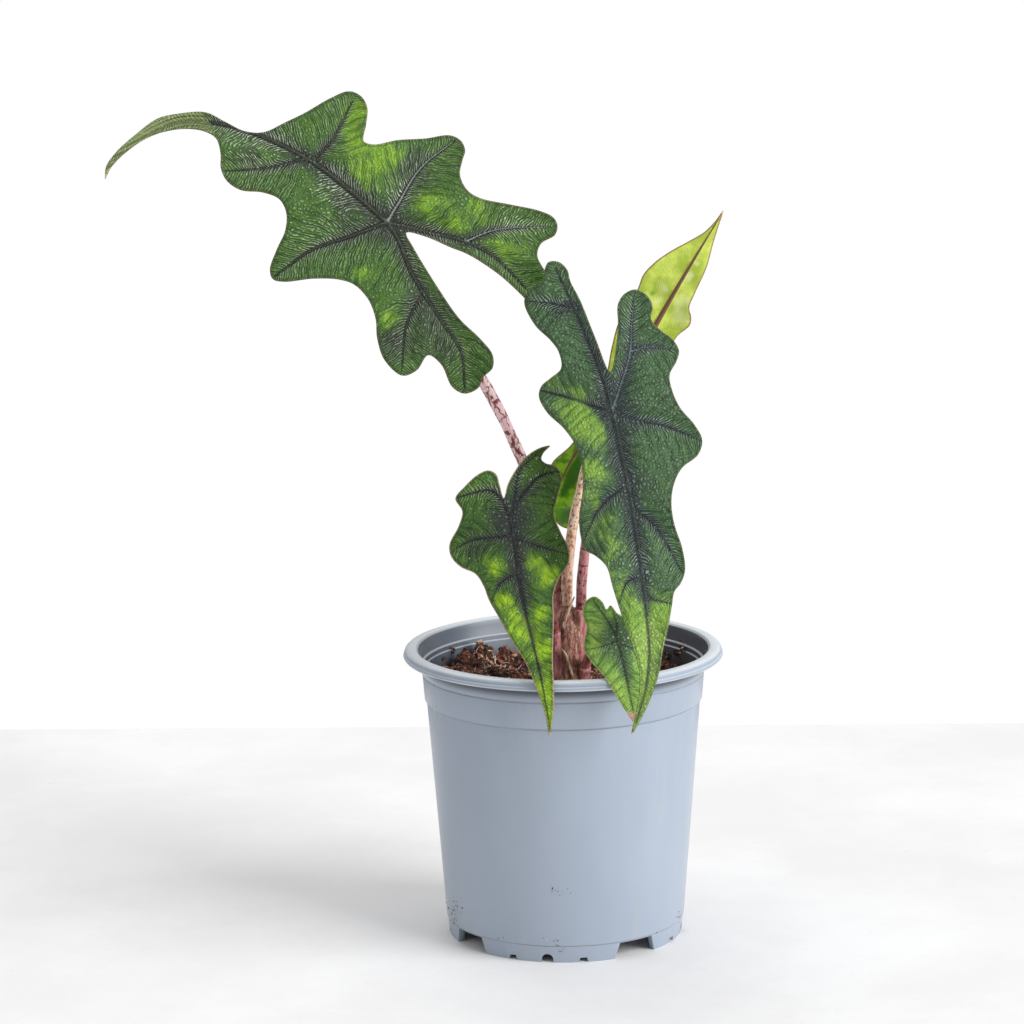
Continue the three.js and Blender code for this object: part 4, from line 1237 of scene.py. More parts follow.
@dataclass
class Blade:
    """A leaf's blade as one thin closed body, with its outline, sunken veins and bulges."""

    shape: LeafShape
    lattice: float = 0.56
    thickness: float = 0.5
    edge_thickness: float = 0.24
    vein_step: float = 1.4
    quilt_reach: float = 7.0
    soft: float = 8.0
    vein_ahead: float = 9.0
    stroke: float = 1.15
    stroke_lean: float = 0.8
    kept: tuple[str, ...] = (
        "cord", "shade", "rim", "glow", "seam", "painted_sheen", "dim", "dry", "furl", "lit_vein"
    )
    midrib_rank: float = 1.35
    branch_rank: float = 0.62
    worn_down: float = 0.75
    vein_end: float = 3.0
    dark_reach: float = 4.0
    junction_reach: float = 11.0
    ripple: float = 4.2
    ripple_height: float = 0.17
    ridge_height: float = 1.1
    groove_depth: float = 0.34
    cord_height: float = 0.3

    def vein_lines(self) -> list[Array]:
        """Draws the veins as smooth lines.

        Returns:
            The lines, each carried straight on beyond its end.
        """
        made = []
        for vein in self.shape.veins:
            line = even_line(vein, self.vein_step)
            ahead = line[-1] - line[-2]
            made.append(np.vstack([line, line[-1] + ahead * self.vein_ahead / np.linalg.norm(ahead)]))
        return made

    def rank(self, order: int) -> float:
        """How strong a vein is.

        Args:
            order: its place in the list.

        Returns:
            More than 1 for the midrib, 1 for the others from the junction and less for branches.
        """
        if order == 0:
            return self.midrib_rank
        return 1.0 if self.shape.veins[order][0] == self.shape.junction else self.branch_rank

    def measure(self, places: Array) -> Fields:
        """Measures places against the veins, the edge and the bright patches.

        Args:
            places: points of the drawing plane.

        Returns:
            The values for each place.
        """
        found = Fields.blank(len(places))
        for order, line in enumerate(self.vein_lines()):
            distance, run, side = nearest_on(line, places)
            length = runs(line)[-2]
            share = np.minimum(run / length, 1)
            past = smoothstep(run - length, 0.0, self.vein_end)
            rank = self.rank(order)
            half = self.shape.vein * rank * (1 - self.shape.taper * share)
            found.cord = np.minimum(found.cord, distance / half + 3 * past)
            strength = rank * (1 - self.worn_down * share)
            ridge = self.ridge_height * strength * smoothstep(distance / half, 2.0, 0.0)
            found.ridge = np.maximum(found.ridge, ridge * (1 - past))
            reach = 0.9 + self.dark_reach * strength
            dark = (1 - 0.7 * share**2) * (1 - past) * np.exp(-((distance / reach) ** 2))
            found.shade = np.maximum(found.shade, dark)
            closer = distance < found.near
            found.seam = np.where(closer, found.near, np.minimum(found.seam, distance))
            found.near[closer] = distance[closer]
            found.run[closer] = run[closer]
            found.strand[closer] = (7.3 * order + 2.1 * side)[closer]
            found.lit_vein[closer] = order in self.shape.pale_veins
        found.seam = smoothstep(found.seam - found.near, 0.6, 2.6)
        found.turn = (found.run - self.stroke_lean * found.near) / self.stroke
        found.turn += 0.9 * wander(places, 15.0, 2.0) + 0.4 * wander(places, 5.0, 4.0)
        centre = np.linalg.norm(places - np.array(self.shape.junction), axis=1)
        found.shade = np.maximum(found.shade, np.exp(-((centre / self.junction_reach) ** 2)))
        outline = even_line(self.shape.edge, 2.0, closed=True)
        found.rim = nearest_on(closed_up(outline), places)[0]
        found.glow = self.patches(self.shape.glow, places)
        # Patches where the crests get a painted highlight.
        found.painted_sheen = self.patches(self.shape.painted_sheen, places)
        found.dim = self.patches(self.shape.dim, places)
        away = np.linalg.norm(places - np.array(self.shape.tip), axis=1)
        found.dry = smoothstep(away, self.shape.dry, 0.4 * self.shape.dry)
        found.furl = smoothstep(away, self.shape.furled + 0.7, self.shape.furled - 0.7)
        found.cord += NO_CORD * found.furl
        found.ridge *= 1 - found.furl
        return found

    @staticmethod
    def patches(spots: tuple[Spot, ...], places: Array) -> Array:
        """Says how strongly round patches show at places.

        Args:
            spots: the patches as right, up and size.
            places: points of the drawing plane.

        Returns:
            A share for each place, from 0 to a little over 1.
        """
        total = np.zeros(len(places))
        sway = np.column_stack([wander(places, 9.0, 3.0), wander(places, 9.0, 6.0)])
        places = places + 1.4 * sway
        for right, up, size in spots:
            away = np.linalg.norm(places - np.array([right, up]), axis=1)
            total += np.exp(-((away / size) ** 2))
        return 1.2 * (1 - np.exp(-1.1 * total))

    def depth(self, places: Array, found: Fields) -> Array:
        """The depth of the blade's middle surface.

        Args:
            places: points of the drawing plane.
            found: what they know about the veins.

        Returns:
            The depth of each, in millimetres behind the drawing plane.
        """
        leaf = self.shape
        reach = places - np.array(leaf.junction)
        axis = np.array(leaf.tip, float) - np.array(leaf.junction)
        axis /= np.linalg.norm(axis)
        along = reach @ axis
        across = reach[:, 0] * axis[1] - reach[:, 1] * axis[0]
        forward = (along + np.hypot(along, self.soft) - self.soft) / 2
        backward = along - forward
        depth = leaf.depth + reach @ np.array(leaf.slope, float)
        depth += -leaf.lean * forward + leaf.curl * forward**2 - leaf.lean_back * backward
        depth += leaf.fold * (np.hypot(across, self.soft) - self.soft)
        for right, up, size, height in leaf.humps:
            away = np.sum((places - np.array([right, up])) ** 2, axis=1)
            depth += height * np.exp(-away / (2 * size * size))
        rise = 1 - np.exp(-((found.near / self.quilt_reach) ** 2))
        bulge = leaf.quilt * rise + 0.28 * rise * wander(places, 5.5, leaf.depth)
        return depth - leaf.facing.value * bulge

    def ripples(self, found: Fields) -> Array:
        """The height of the ripples that run out from the veins.

        Args:
            found: what the places know about the veins.

        Returns:
            The height at each place.
        """
        turn = found.turn * self.stroke / self.ripple + found.strand
        fade = smoothstep(found.near, 0.8, 3.0) * (0.2 + 0.8 * found.seam) * (1 - found.furl)
        return self.ripple_height * np.sin(2 * math.pi * turn) * fade

    def sheet(self) -> tuple[Array, Array]:
        """Fills the outline with a lattice and joins it to the outline and the veins.

        Returns:
            The places and their triangles, counter-clockwise as the viewer sees them.
        """
        edge = even_line(self.shape.edge, self.lattice, closed=True)
        low, high = edge.min(axis=0), edge.max(axis=0)
        rows = np.arange(low[1], high[1], self.lattice * math.sqrt(0.75))
        columns = np.arange(low[0], high[0], self.lattice)
        right, up = np.meshgrid(columns, rows)
        right = right + (np.arange(len(rows)) % 2)[:, None] * self.lattice / 2
        grid = np.column_stack([right.ravel(), up.ravel()])
        grid = grid[inside(edge, grid)]
        clear = nearest_on(closed_up(edge), grid)[0] > 0.55 * self.lattice
        lines = [even_line(vein, self.lattice) for vein in self.shape.veins]
        for line in lines:
            clear &= nearest_on(line, grid)[0] > 0.45 * self.lattice
        grid = grid[clear]
        points = np.vstack([edge, *lines, grid])
        links = [(i, (i + 1) % len(edge)) for i in range(len(edge))]
        start = len(edge)
        for line in lines:
            links += [(start + i, start + i + 1) for i in range(len(line) - 1)]
            start += len(line)
        filled = delaunay_2d_cdt(points.tolist(), links, [], 0, 1e-5)
        places = np.array([tuple(p) for p in filled[0]])
        faces = np.array(filled[2])
        faces = faces[inside(edge, places[faces].mean(axis=1))]
        first, second, third = (places[faces[:, corner]] for corner in range(3))
        (right, up), (right_on, up_on) = (second - first).T, (third - first).T
        area = right * up_on - up * right_on
        faces[area < 0] = faces[area < 0][:, ::-1]
        faces = faces[np.abs(area) > 1e-9]
        used, order = np.unique(faces, return_inverse=True)
        return places[used], order.reshape(-1, 3)

    def build(self) -> Piece:
        """Builds the blade from its filled outline.

        Returns:
            The blade's object, with the values that its finish reads.
        """
        places, faces = self.sheet()
        found = self.measure(places)
        middle = seen(places, self.depth(places, found))
        corners = middle[faces]
        flat = np.cross(corners[:, 1] - corners[:, 0], corners[:, 2] - corners[:, 0])
        normals = np.zeros_like(middle)
        for corner in range(3):
            np.add.at(normals, faces[:, corner], flat)
        normals /= np.linalg.norm(normals, axis=1)[:, None]
        rounding = smoothstep(found.rim, 0.0, 1.6)
        half = (self.edge_thickness + (self.thickness - self.edge_thickness) * rounding) / 2
        inner = smoothstep(found.rim, 0.3, 1.5)
        groove = self.groove_depth * np.exp(-(((found.cord - 1.25) / 0.7) ** 2))
        bead = self.cord_height * np.exp(-((found.cord / 0.6) ** 2))
        ripples = self.ripples(found)
        raised = inner * (bead - groove + ripples)
        sunk = inner * (found.ridge + 0.5 * ripples)
        front, back = (raised, sunk) if self.shape.facing is Facing.VIEWER else (sunk, raised)
        near_side = middle + normals * (half + front)[:, None]
        far_side = middle - normals * (half + back)[:, None]
        count = len(places)
        start, end = self.border(faces)
        walls = np.vstack([[end, start, start + count], [end, start + count, end + count]]).reshape(2, 3, -1)
        whole = np.vstack([faces, faces[:, ::-1] + count, walls[0].T, walls[1].T])
        piece = mesh_piece(self.shape.name + "_blade_skin", np.vstack([near_side, far_side]), whole)
        below = np.array([0.0, 1.0] if self.shape.facing is Facing.VIEWER else [1.0, 0.0]).repeat(count)
        values = {name: getattr(found, name) for name in self.kept}
        values["net"] = np.column_stack([found.turn, found.near, found.strand])
        values["fold"] = ripples / self.ripple_height
        keep_values(piece, {name: np.concatenate([value, value]) for name, value in values.items()})
        keep_values(piece, {"below": below})
        return piece

    @staticmethod
    def border(faces: Array) -> tuple[Array, Array]:
        """Finds the edges that only one triangle has.

        Args:
            faces: the triangles.

        Returns:
            The first and the second point of each such edge, in the triangle's own order.
        """
        edges = np.vstack([faces[:, [0, 1]], faces[:, [1, 2]], faces[:, [2, 0]]])
        count = faces.max() + 1
        codes = edges[:, 0] * count + edges[:, 1]
        twins = edges[:, 1] * count + edges[:, 0]
        alone = edges[~np.isin(codes, twins)]
        return alone[:, 0], alone[:, 1]


class Marks(Enum):
    """How a stalk's skin is marked."""

    HOOKS = "brown outlines of long cells"
    SPECKS = "small long specks"
    BANDS = "short dark bands and spots"


@dataclass(frozen=True)
class StalkSkin:
    """Finish of a fleshy stalk: a tint that changes up the stalk, pale streaks that are partly painted
    highlights, and dark marks.
    """

    name: str
    marks: Marks
    low: Colour
    high: Colour
    light: Colour
    mark: Colour
    low_end: float
    high_start: float
    share: float = 0.8
    smudge: float = 0.6
    roughness: float = 0.4

    def marking(self, recipe: Recipe, wrap: Socket) -> Socket:
        """Builds the marks.

        Args:
            recipe: the material's node tree.
            wrap: coordinates round and along the stalk, in millimetres.

        Returns:
            How strong the marks are.
        """
        gate = recipe.noise(wrap, 0.55, 3.0, 0.6, upright=0.5)
        if self.marks is Marks.HOOKS:
            bent = recipe.noise(wrap, 0.35, 1.0)
            long = recipe.node("VectorMath", {0: recipe.stretched(wrap, (0.36, 0.36, 0.17)), 1: bent})
            outline = recipe.borders(long.outputs[0], 1.0)
            drawn = recipe.rise(outline, 0.16, 0.05)
            return recipe.times(drawn, recipe.rise(gate, 0.4, 0.5))
        if self.marks is Marks.SPECKS:
            speck = recipe.noise(wrap, 0.95, 2.0, 0.6, upright=0.75)
            return recipe.times(recipe.rise(speck, 0.53, 0.57), recipe.rise(gate, 0.38, 0.5, 0.4, 1.0))
        band = recipe.noise(recipe.stretched(wrap, (0.14, 0.14, 0.8)), 0.7, 2.0, 0.5)
        speck = recipe.noise(wrap, 0.6, 3.0, 0.6, upright=0.6)
        spot = recipe.times(recipe.rise(speck, 0.51, 0.57), recipe.rise(gate, 0.4, 0.5))
        return recipe.larger(recipe.rise(band, 0.57, 0.62), spot)

    def material(self) -> Material:
        """Builds the finish.

        Returns:
            The material.
        """
        recipe = Recipe(self.name)
        wrap = recipe.vector("wrap")
        height = recipe.axis(wrap, "Z")
        streak = recipe.noise(wrap, 0.9, 4.0, upright=0.12)
        cloud = recipe.noise(wrap, 0.35, 3.0, upright=0.4)
        colour = recipe.mix(recipe.rise(height, self.low_end, self.high_start), self.low, self.high)
        # Pale streaks along the stalk, partly painted highlight.
        colour = recipe.mix(recipe.rise(streak, 0.5, 0.7, 0.0, 0.6), colour, self.light)
        colour = recipe.mix(recipe.rise(cloud, 0.5, 0.66, 0.0, 0.5), colour, self.light)
        marks = self.marking(recipe, wrap)
        halo = recipe.mix(0.5, colour, self.mark)
        smudge = recipe.noise(wrap, 0.8, 4.0, 0.65, upright=0.4)
        colour = recipe.mix(recipe.rise(smudge, 0.56, 0.7, 0.0, self.smudge), colour, halo)
        colour = recipe.mix(recipe.times(marks, self.share), colour, self.mark)
        relief = recipe.plus(recipe.times(streak, 0.7), recipe.times(smudge, 0.3))
        return recipe.finish(colour, self.roughness, relief, 0.0003)


STALK_SKINS = {
    "top_leaf": StalkSkin(
        name="top_stalk_skin", marks=Marks.HOOKS, low=srgb(158, 92, 92), high=srgb(244, 200, 206),
        light=srgb(250, 226, 224), mark=srgb(118, 36, 30), low_end=24, high_start=60, share=0.95,
        smudge=0.06,
    ),
    "right_leaf": StalkSkin(
        name="right_stalk_skin", marks=Marks.BANDS, low=srgb(164, 94, 98), high=srgb(206, 134, 138),
        light=srgb(232, 184, 184), mark=srgb(92, 28, 28), low_end=0, high_start=30, share=0.92,
    ),
    "left_leaf": StalkSkin(
        name="left_stalk_skin", marks=Marks.BANDS, low=srgb(150, 78, 80), high=srgb(140, 92, 76),
        light=srgb(176, 116, 108), mark=srgb(76, 32, 32), low_end=0, high_start=40,
    ),
    "low_leaf": StalkSkin(
        name="low_stalk_skin", marks=Marks.BANDS, low=srgb(206, 132, 130), high=srgb(190, 126, 116),
        light=srgb(222, 160, 152), mark=srgb(120, 60, 54), low_end=0, high_start=30, share=0.5,
    ),
    "young_leaf": StalkSkin(
        name="young_stalk_skin", marks=Marks.SPECKS, low=srgb(214, 172, 146), high=srgb(236, 208, 180),
        light=srgb(246, 230, 208), mark=srgb(146, 62, 44), low_end=20, high_start=50, smudge=0.35,
    ),
}


@dataclass
class Stalk:
    """A leaf's stalk as a round tapering tube from its sheath to the blade's junction."""

    shape: LeafShape
    junction_depth: float
    step: float = 1.3
    roundness: int = 6
    insertion: float = 5.0
    unevenness: float = 0.09
    hidden: float = 0.3
    per_span: int = 24

    def route(self) -> tuple[Array, Array]:
        """The stalk's middle line from the crown to the junction.

        Returns:
            Its points and the stalk's radius at each.
        """
        last = self.shape.stalk[-1]
        behind = self.shape.facing.value * (self.hidden + 0.9 * last[3])
        end = (*self.shape.junction, self.junction_depth + behind, last[3] * 0.9)
        stops = np.array([*self.shape.stalk, end], float)
        line = spline(seen(stops[:, :2], stops[:, 2]), per_span=self.per_span)
        radii = np.interp(np.arange(len(line)) / self.per_span, np.arange(len(stops)), stops[:, 3])
        return line, radii

    def tube(self, name: str, line: Array, radii: Array) -> Piece:
        """Sweeps a round section along a line and makes it a mesh.

        Args:
            name: the piece's name.
            line: the points of the middle line.
            radii: the radius at each.

        Returns:
            The closed tube, with the values that its finish reads.
        """
        length = runs(line)[-1]
        stops = np.linspace(0, length, max(4, round(length / self.step)))
        places = at_runs(line, stops)
        piece = swept(name, [(places, np.interp(stops, runs(line), radii))], self.roundness)
        bpy.ops.object.mode_set(mode="EDIT")
        bpy.ops.mesh.select_all(action="SELECT")
        bpy.ops.mesh.remove_doubles(threshold=0.00001)
        bpy.ops.mesh.normals_make_consistent(inside=False)
        bpy.ops.object.mode_set(mode="OBJECT")
        self.wrap(piece, places)
        return piece

    def wrap(self, piece: Piece, line: Array) -> None:
        """Makes a tube's skin slightly uneven and stores its coordinates round and along it.

        Args:
            piece: the tube.
            line: its middle line.
        """
        points = points_of(piece)
        _, run, _ = nearest_on(line, points)
        centres = at_runs(line, run)
        out = points - centres
        around = np.column_stack([out[:, 0], out[:, 1], run])
        keep_values(piece, {"wrap": around})
        grown = 1 + self.unevenness * wander(around * np.array([1.0, 1.0, 0.35]), 4.0, self.junction_depth)
        move_points(piece, centres + out * grown[:, None])

    def build(self) -> Piece:
        """Builds the stalk above its sheath.

        Returns:
            The stalk's object.
        """
        line, radii = self.route()
        start = np.argmax(line[:, 2] > self.shape.sheath_top - self.insertion)
        return self.tube(self.shape.name + "_stalk_skin", line[start:], radii[start:])

    def sheath(self, wall: float = 0.9, lip: float = 0.35) -> Piece:
        """Builds the sheath round the stalk's foot.

        Args:
            wall: how far it stands out from the stalk at the foot.
            lip: how far it stands out at its top.

        Returns:
            The sheath's object.
        """
        line, radii = self.route()
        end = np.argmax(line[:, 2] > self.shape.sheath_top)
        share = np.linspace(0, 1, end)
        grown = radii[:end] + wall + (lip - wall) * share
        return self.tube(self.shape.name + "_sheath_skin", line[:end], grown)


@dataclass(frozen=True)
class CrownSkin:
    """Finish of the crown and the sheaths: fleshy red at the sides, torn brown papery skin in the middle."""

    name: str = "stem_base_skin"
    flesh: Colour = srgb(174, 98, 102)
    light: Colour = srgb(212, 150, 150)
    paper: Colour = srgb(194, 148, 122)
    bark: Colour = srgb(140, 90, 74)
    dark: Colour = srgb(66, 42, 32)
    middle: float = 2.6

    def material(self) -> Material:
        """Builds the finish.

        Returns:
            The material.
        """
        recipe = Recipe(self.name)
        place = recipe.place()
        right = recipe.axis(place, "X")
        offset = recipe.gap(right, (AXIS[0] + self.middle) * MM)
        torn = recipe.noise(place, 300.0, 5.0, 0.65, upright=0.5)
        streak = recipe.noise(place, 700.0, 4.0, 0.6, upright=0.2)
        inner = recipe.plus(recipe.rise(offset, 0.0065, 0.002), recipe.rise(torn, 0.35, 0.65, -0.5, 0.5))
        colour = recipe.mix(recipe.rise(streak, 0.42, 0.66), self.flesh, self.light)
        brown = recipe.mix(recipe.rise(streak, 0.4, 0.62), self.bark, self.paper)
        colour = recipe.mix(recipe.rise(inner, 0.35, 0.75, 0.0, 0.85), colour, brown)
        bent = recipe.times(torn, 2.4)
        net = recipe.node("VectorMath", {0: recipe.stretched(place, (850.0, 850.0, 330.0)), 1: bent})
        line = recipe.rise(recipe.borders(net.outputs[0], 1.0), 0.16, 0.03)
        stain = recipe.noise(place, 480.0, 4.0, 0.6, upright=0.6)
        line = recipe.times(line, recipe.rise(inner, 0.0, 0.6, 0.15, 0.55))
        line = recipe.times(line, recipe.rise(stain, 0.4, 0.56, 0.1, 1.0))
        colour = recipe.mix(line, colour, self.dark)
        colour = recipe.mix(recipe.rise(stain, 0.6, 0.72, 0.0, 0.6), colour, self.dark)
        height = recipe.plus(streak, recipe.math("SUBTRACT", torn, line))
        return recipe.finish(colour, 0.55, height, 0.0005)


@dataclass
class StemBase:
    """The crown in the soil, from which the sheathed stalks grow."""

    stalks: tuple[Stalk, ...]
    sides: int = 48
    ridges: int = 7
    profile: tuple[Point, ...] = (
        (4.5, 78.8), (7.4, 82), (8.6, 87), (8.8, 93), (8.5, 100), (8, 108), (7.4, 115), (6.2, 120.5),
        (4, 124), (1.5, 125.3),
    )
    scraps: tuple[tuple[Stop, ...], ...] = (
        (
            (-0.5, 108.5, -10, 0.2), (1, 106.5, -10.2, 0.4), (2, 103, -10.4, 0.5), (3, 100, -10.4, 0.5),
            (3.5, 97, -10.3, 0.5),
        ),
        ((4.5, 128.5, -5.5, 0.2), (3, 125, -7, 0.45), (1.5, 121, -8, 0.5), (0.5, 116, -9.3, 0.25)),
    )
    drop: tuple[Stop, ...] = ((0.5, 119, -8.2, 0.25), (0.5, 118, -8.5, 0.5), (0.5, 116.5, -8.8, 0.4))

    def crown(self) -> Piece:
        """Turns the crown and roughens it.

        Returns:
            The crown's object.
        """
        crown = turned("stem_crown_skin", spline(self.profile, per_span=4), CROWN_MIDDLE, self.sides)
        crown.data.shade_smooth()
        points = points_of(crown)
        points[:, 0] = CROWN_MIDDLE[0] + CROWN_NARROW * (points[:, 0] - CROWN_MIDDLE[0])
        out = (points - np.array([*CROWN_MIDDLE, 0.0])) * np.array([1.0, 1.0, 0.0])
        angle = np.arctan2(out[:, 1], out[:, 0])
        lift = 0.05 * wander(points * np.array([1.0, 1.0, 0.4]), 5.0)
        lift -= 0.09 * np.abs(np.sin(self.ridges * angle / 2 + 0.05 * points[:, 2])) ** 6
        move_points(crown, points + out * lift[:, None])
        return crown

    def dress(self) -> None:
        """Builds and dresses the crown and the sheaths."""
        skin = CrownSkin().material()
        finish_piece(self.crown(), skin, "crown", "stem_base")
        for stalk in self.stalks:
            finish_piece(stalk.sheath(), skin, "crown", "stem_base")
        dry = DRY_SHEATH.material()
        for number, scrap in enumerate(self.scraps):
            finish_piece(self.strip(f"dry_scrap_{number}", scrap), dry, "crown", "stem_base")
        finish_piece(self.strip("sap_drop", self.drop), SAP.material(), "crown", "stem_base")

    def strip(self, name: str, path: tuple[Stop, ...]) -> Piece:
        """Builds a thin strip that clings to the crown.

        Args:
            name: the piece's name.
            path: its points as x, z, depth and radius, drawn like a stalk's.

        Returns:
            The strip.
        """
        stops = np.array(path)
        line = spline(seen(stops[:, :2], stops[:, 2]), per_span=6)
        radii = np.interp(np.linspace(0, len(stops) - 1, len(line)), np.arange(len(stops)), stops[:, 3])
        return self.stalks[0].tube(name, line, radii)


@dataclass(frozen=True)
class PotPlastic:
    """Finish of the pot: satin grey-blue moulded plastic with faint flow marks and dust.

    It has painted shade along its creases, under its rim and on its inner wall, and painted highlights on
    the rim.
    """

    name: str = "pot_plastic"
    colour: Colour = srgb(157, 168, 183)
    cloud_tint: Colour = (0.9, 0.915, 0.93)
    dust: Colour = srgb(168, 172, 176)
    # Colour of the painted shade on the inner wall.
    shaded: Colour = srgb(100, 109, 122)
    peat: Colour = srgb(84, 66, 54)
    peat_top: float = 0.101
    # Colour of the painted shade along the moulded creases, patchy and brownish.
    soiled: Colour = srgb(112, 104, 108)
    creases: tuple[float, ...] = (0.1005, 0.0901, 0.0064)
    # Height of the painted highlight line along the rim's lower edge.
    lip_edge: float = 0.1067
    lip_shadow: tuple[float, float] = (0.1012, 0.1048)
    lip_bead: tuple[float, float] = (0.1064, 0.1061)
    # The painted shadow on the inner wall deepens from this distance right of the axis to the next one.
    damp_from: float = 16.0
    damp_to: float = 46.0
    # Colour of the painted highlight on the rim's lower edge and top.
    worn: Colour = srgb(222, 229, 233)
    # Colour of the painted shadow under the rim.
    grime: Colour = srgb(62, 65, 74)
    # Colour of the painted shadow on the right of the inner wall.
    damp: Colour = srgb(50, 55, 64)
    roughness: float = 0.3

    def material(self) -> Material:
        """Builds the finish.

        Returns:
            The material.
        """
        recipe = Recipe(self.name)
        place = recipe.place()
        height = recipe.axis(place, "Z")
        inner = recipe.value("inner")
        cloud = recipe.noise(place, 28.0, 4.0, upright=0.5)
        scuff = recipe.noise(place, 200.0, 4.0, 0.7, upright=0.8)
        flow = recipe.noise(place, 150.0, 3.0, 0.6, upright=0.05)
        darker = recipe.tinted(self.colour, self.cloud_tint)
        colour = recipe.mix(recipe.rise(cloud, 0.3, 0.7), darker, self.colour)
        colour = recipe.mix(recipe.rise(flow, 0.5, 0.75, 0.0, 0.35), colour, self.dust)
        colour = recipe.mix(recipe.rise(scuff, 0.7, 0.8, 0.0, 0.12), colour, self.dust)
        # Painted shade along the creases, in patches.
        soiled = recipe.rise(cloud, 0.35, 0.6, 0.15, 0.5)
        # Painted highlight along the rim's lower edge, in patches.
        worn = recipe.rise(cloud, 0.3, 0.6, 0.2, 0.7)
        rings = [(level, soiled, self.soiled) for level in self.creases]
        for level, patchy, tint in [*rings, (self.lip_edge, worn, self.worn)]:
            line = recipe.rise(recipe.gap(height, level), 0.0004, 0.0001)
            colour = recipe.mix(recipe.times(line, patchy), colour, tint)
        # Painted shadow on the wall under the rim.
        under = recipe.rise(height, *self.lip_shadow, 0.0, 0.95)
        colour = recipe.mix(recipe.times(under, recipe.rise(height, *self.lip_bead)), colour, self.grime)
        # Painted shade on the inner wall, darker towards the right.
        right = recipe.axis(place, "X")
        dark = recipe.rise(right, (AXIS[0] + self.damp_from) * MM, (AXIS[0] + self.damp_to) * MM, 0.0, 0.75)
        colour = recipe.mix(inner, colour, recipe.mix(dark, self.shaded, self.damp))
        # Painted highlight on the rim's top.
        colour = recipe.mix(recipe.times(recipe.value("top"), 0.8), colour, self.worn)
        film = recipe.times(recipe.rise(height, self.peat_top, self.peat_top - 0.006), inner)
        film = recipe.times(film, recipe.rise(scuff, 0.4, 0.6, 0.1, 0.8))
        colour = recipe.mix(film, colour, self.peat)
        gloss = recipe.rise(cloud, 0.3, 0.7, self.roughness - 0.03, self.roughness + 0.05)
        grain = recipe.noise(place, 1800.0, 2.0)
        return recipe.finish(colour, gloss, grain, 0.00001)


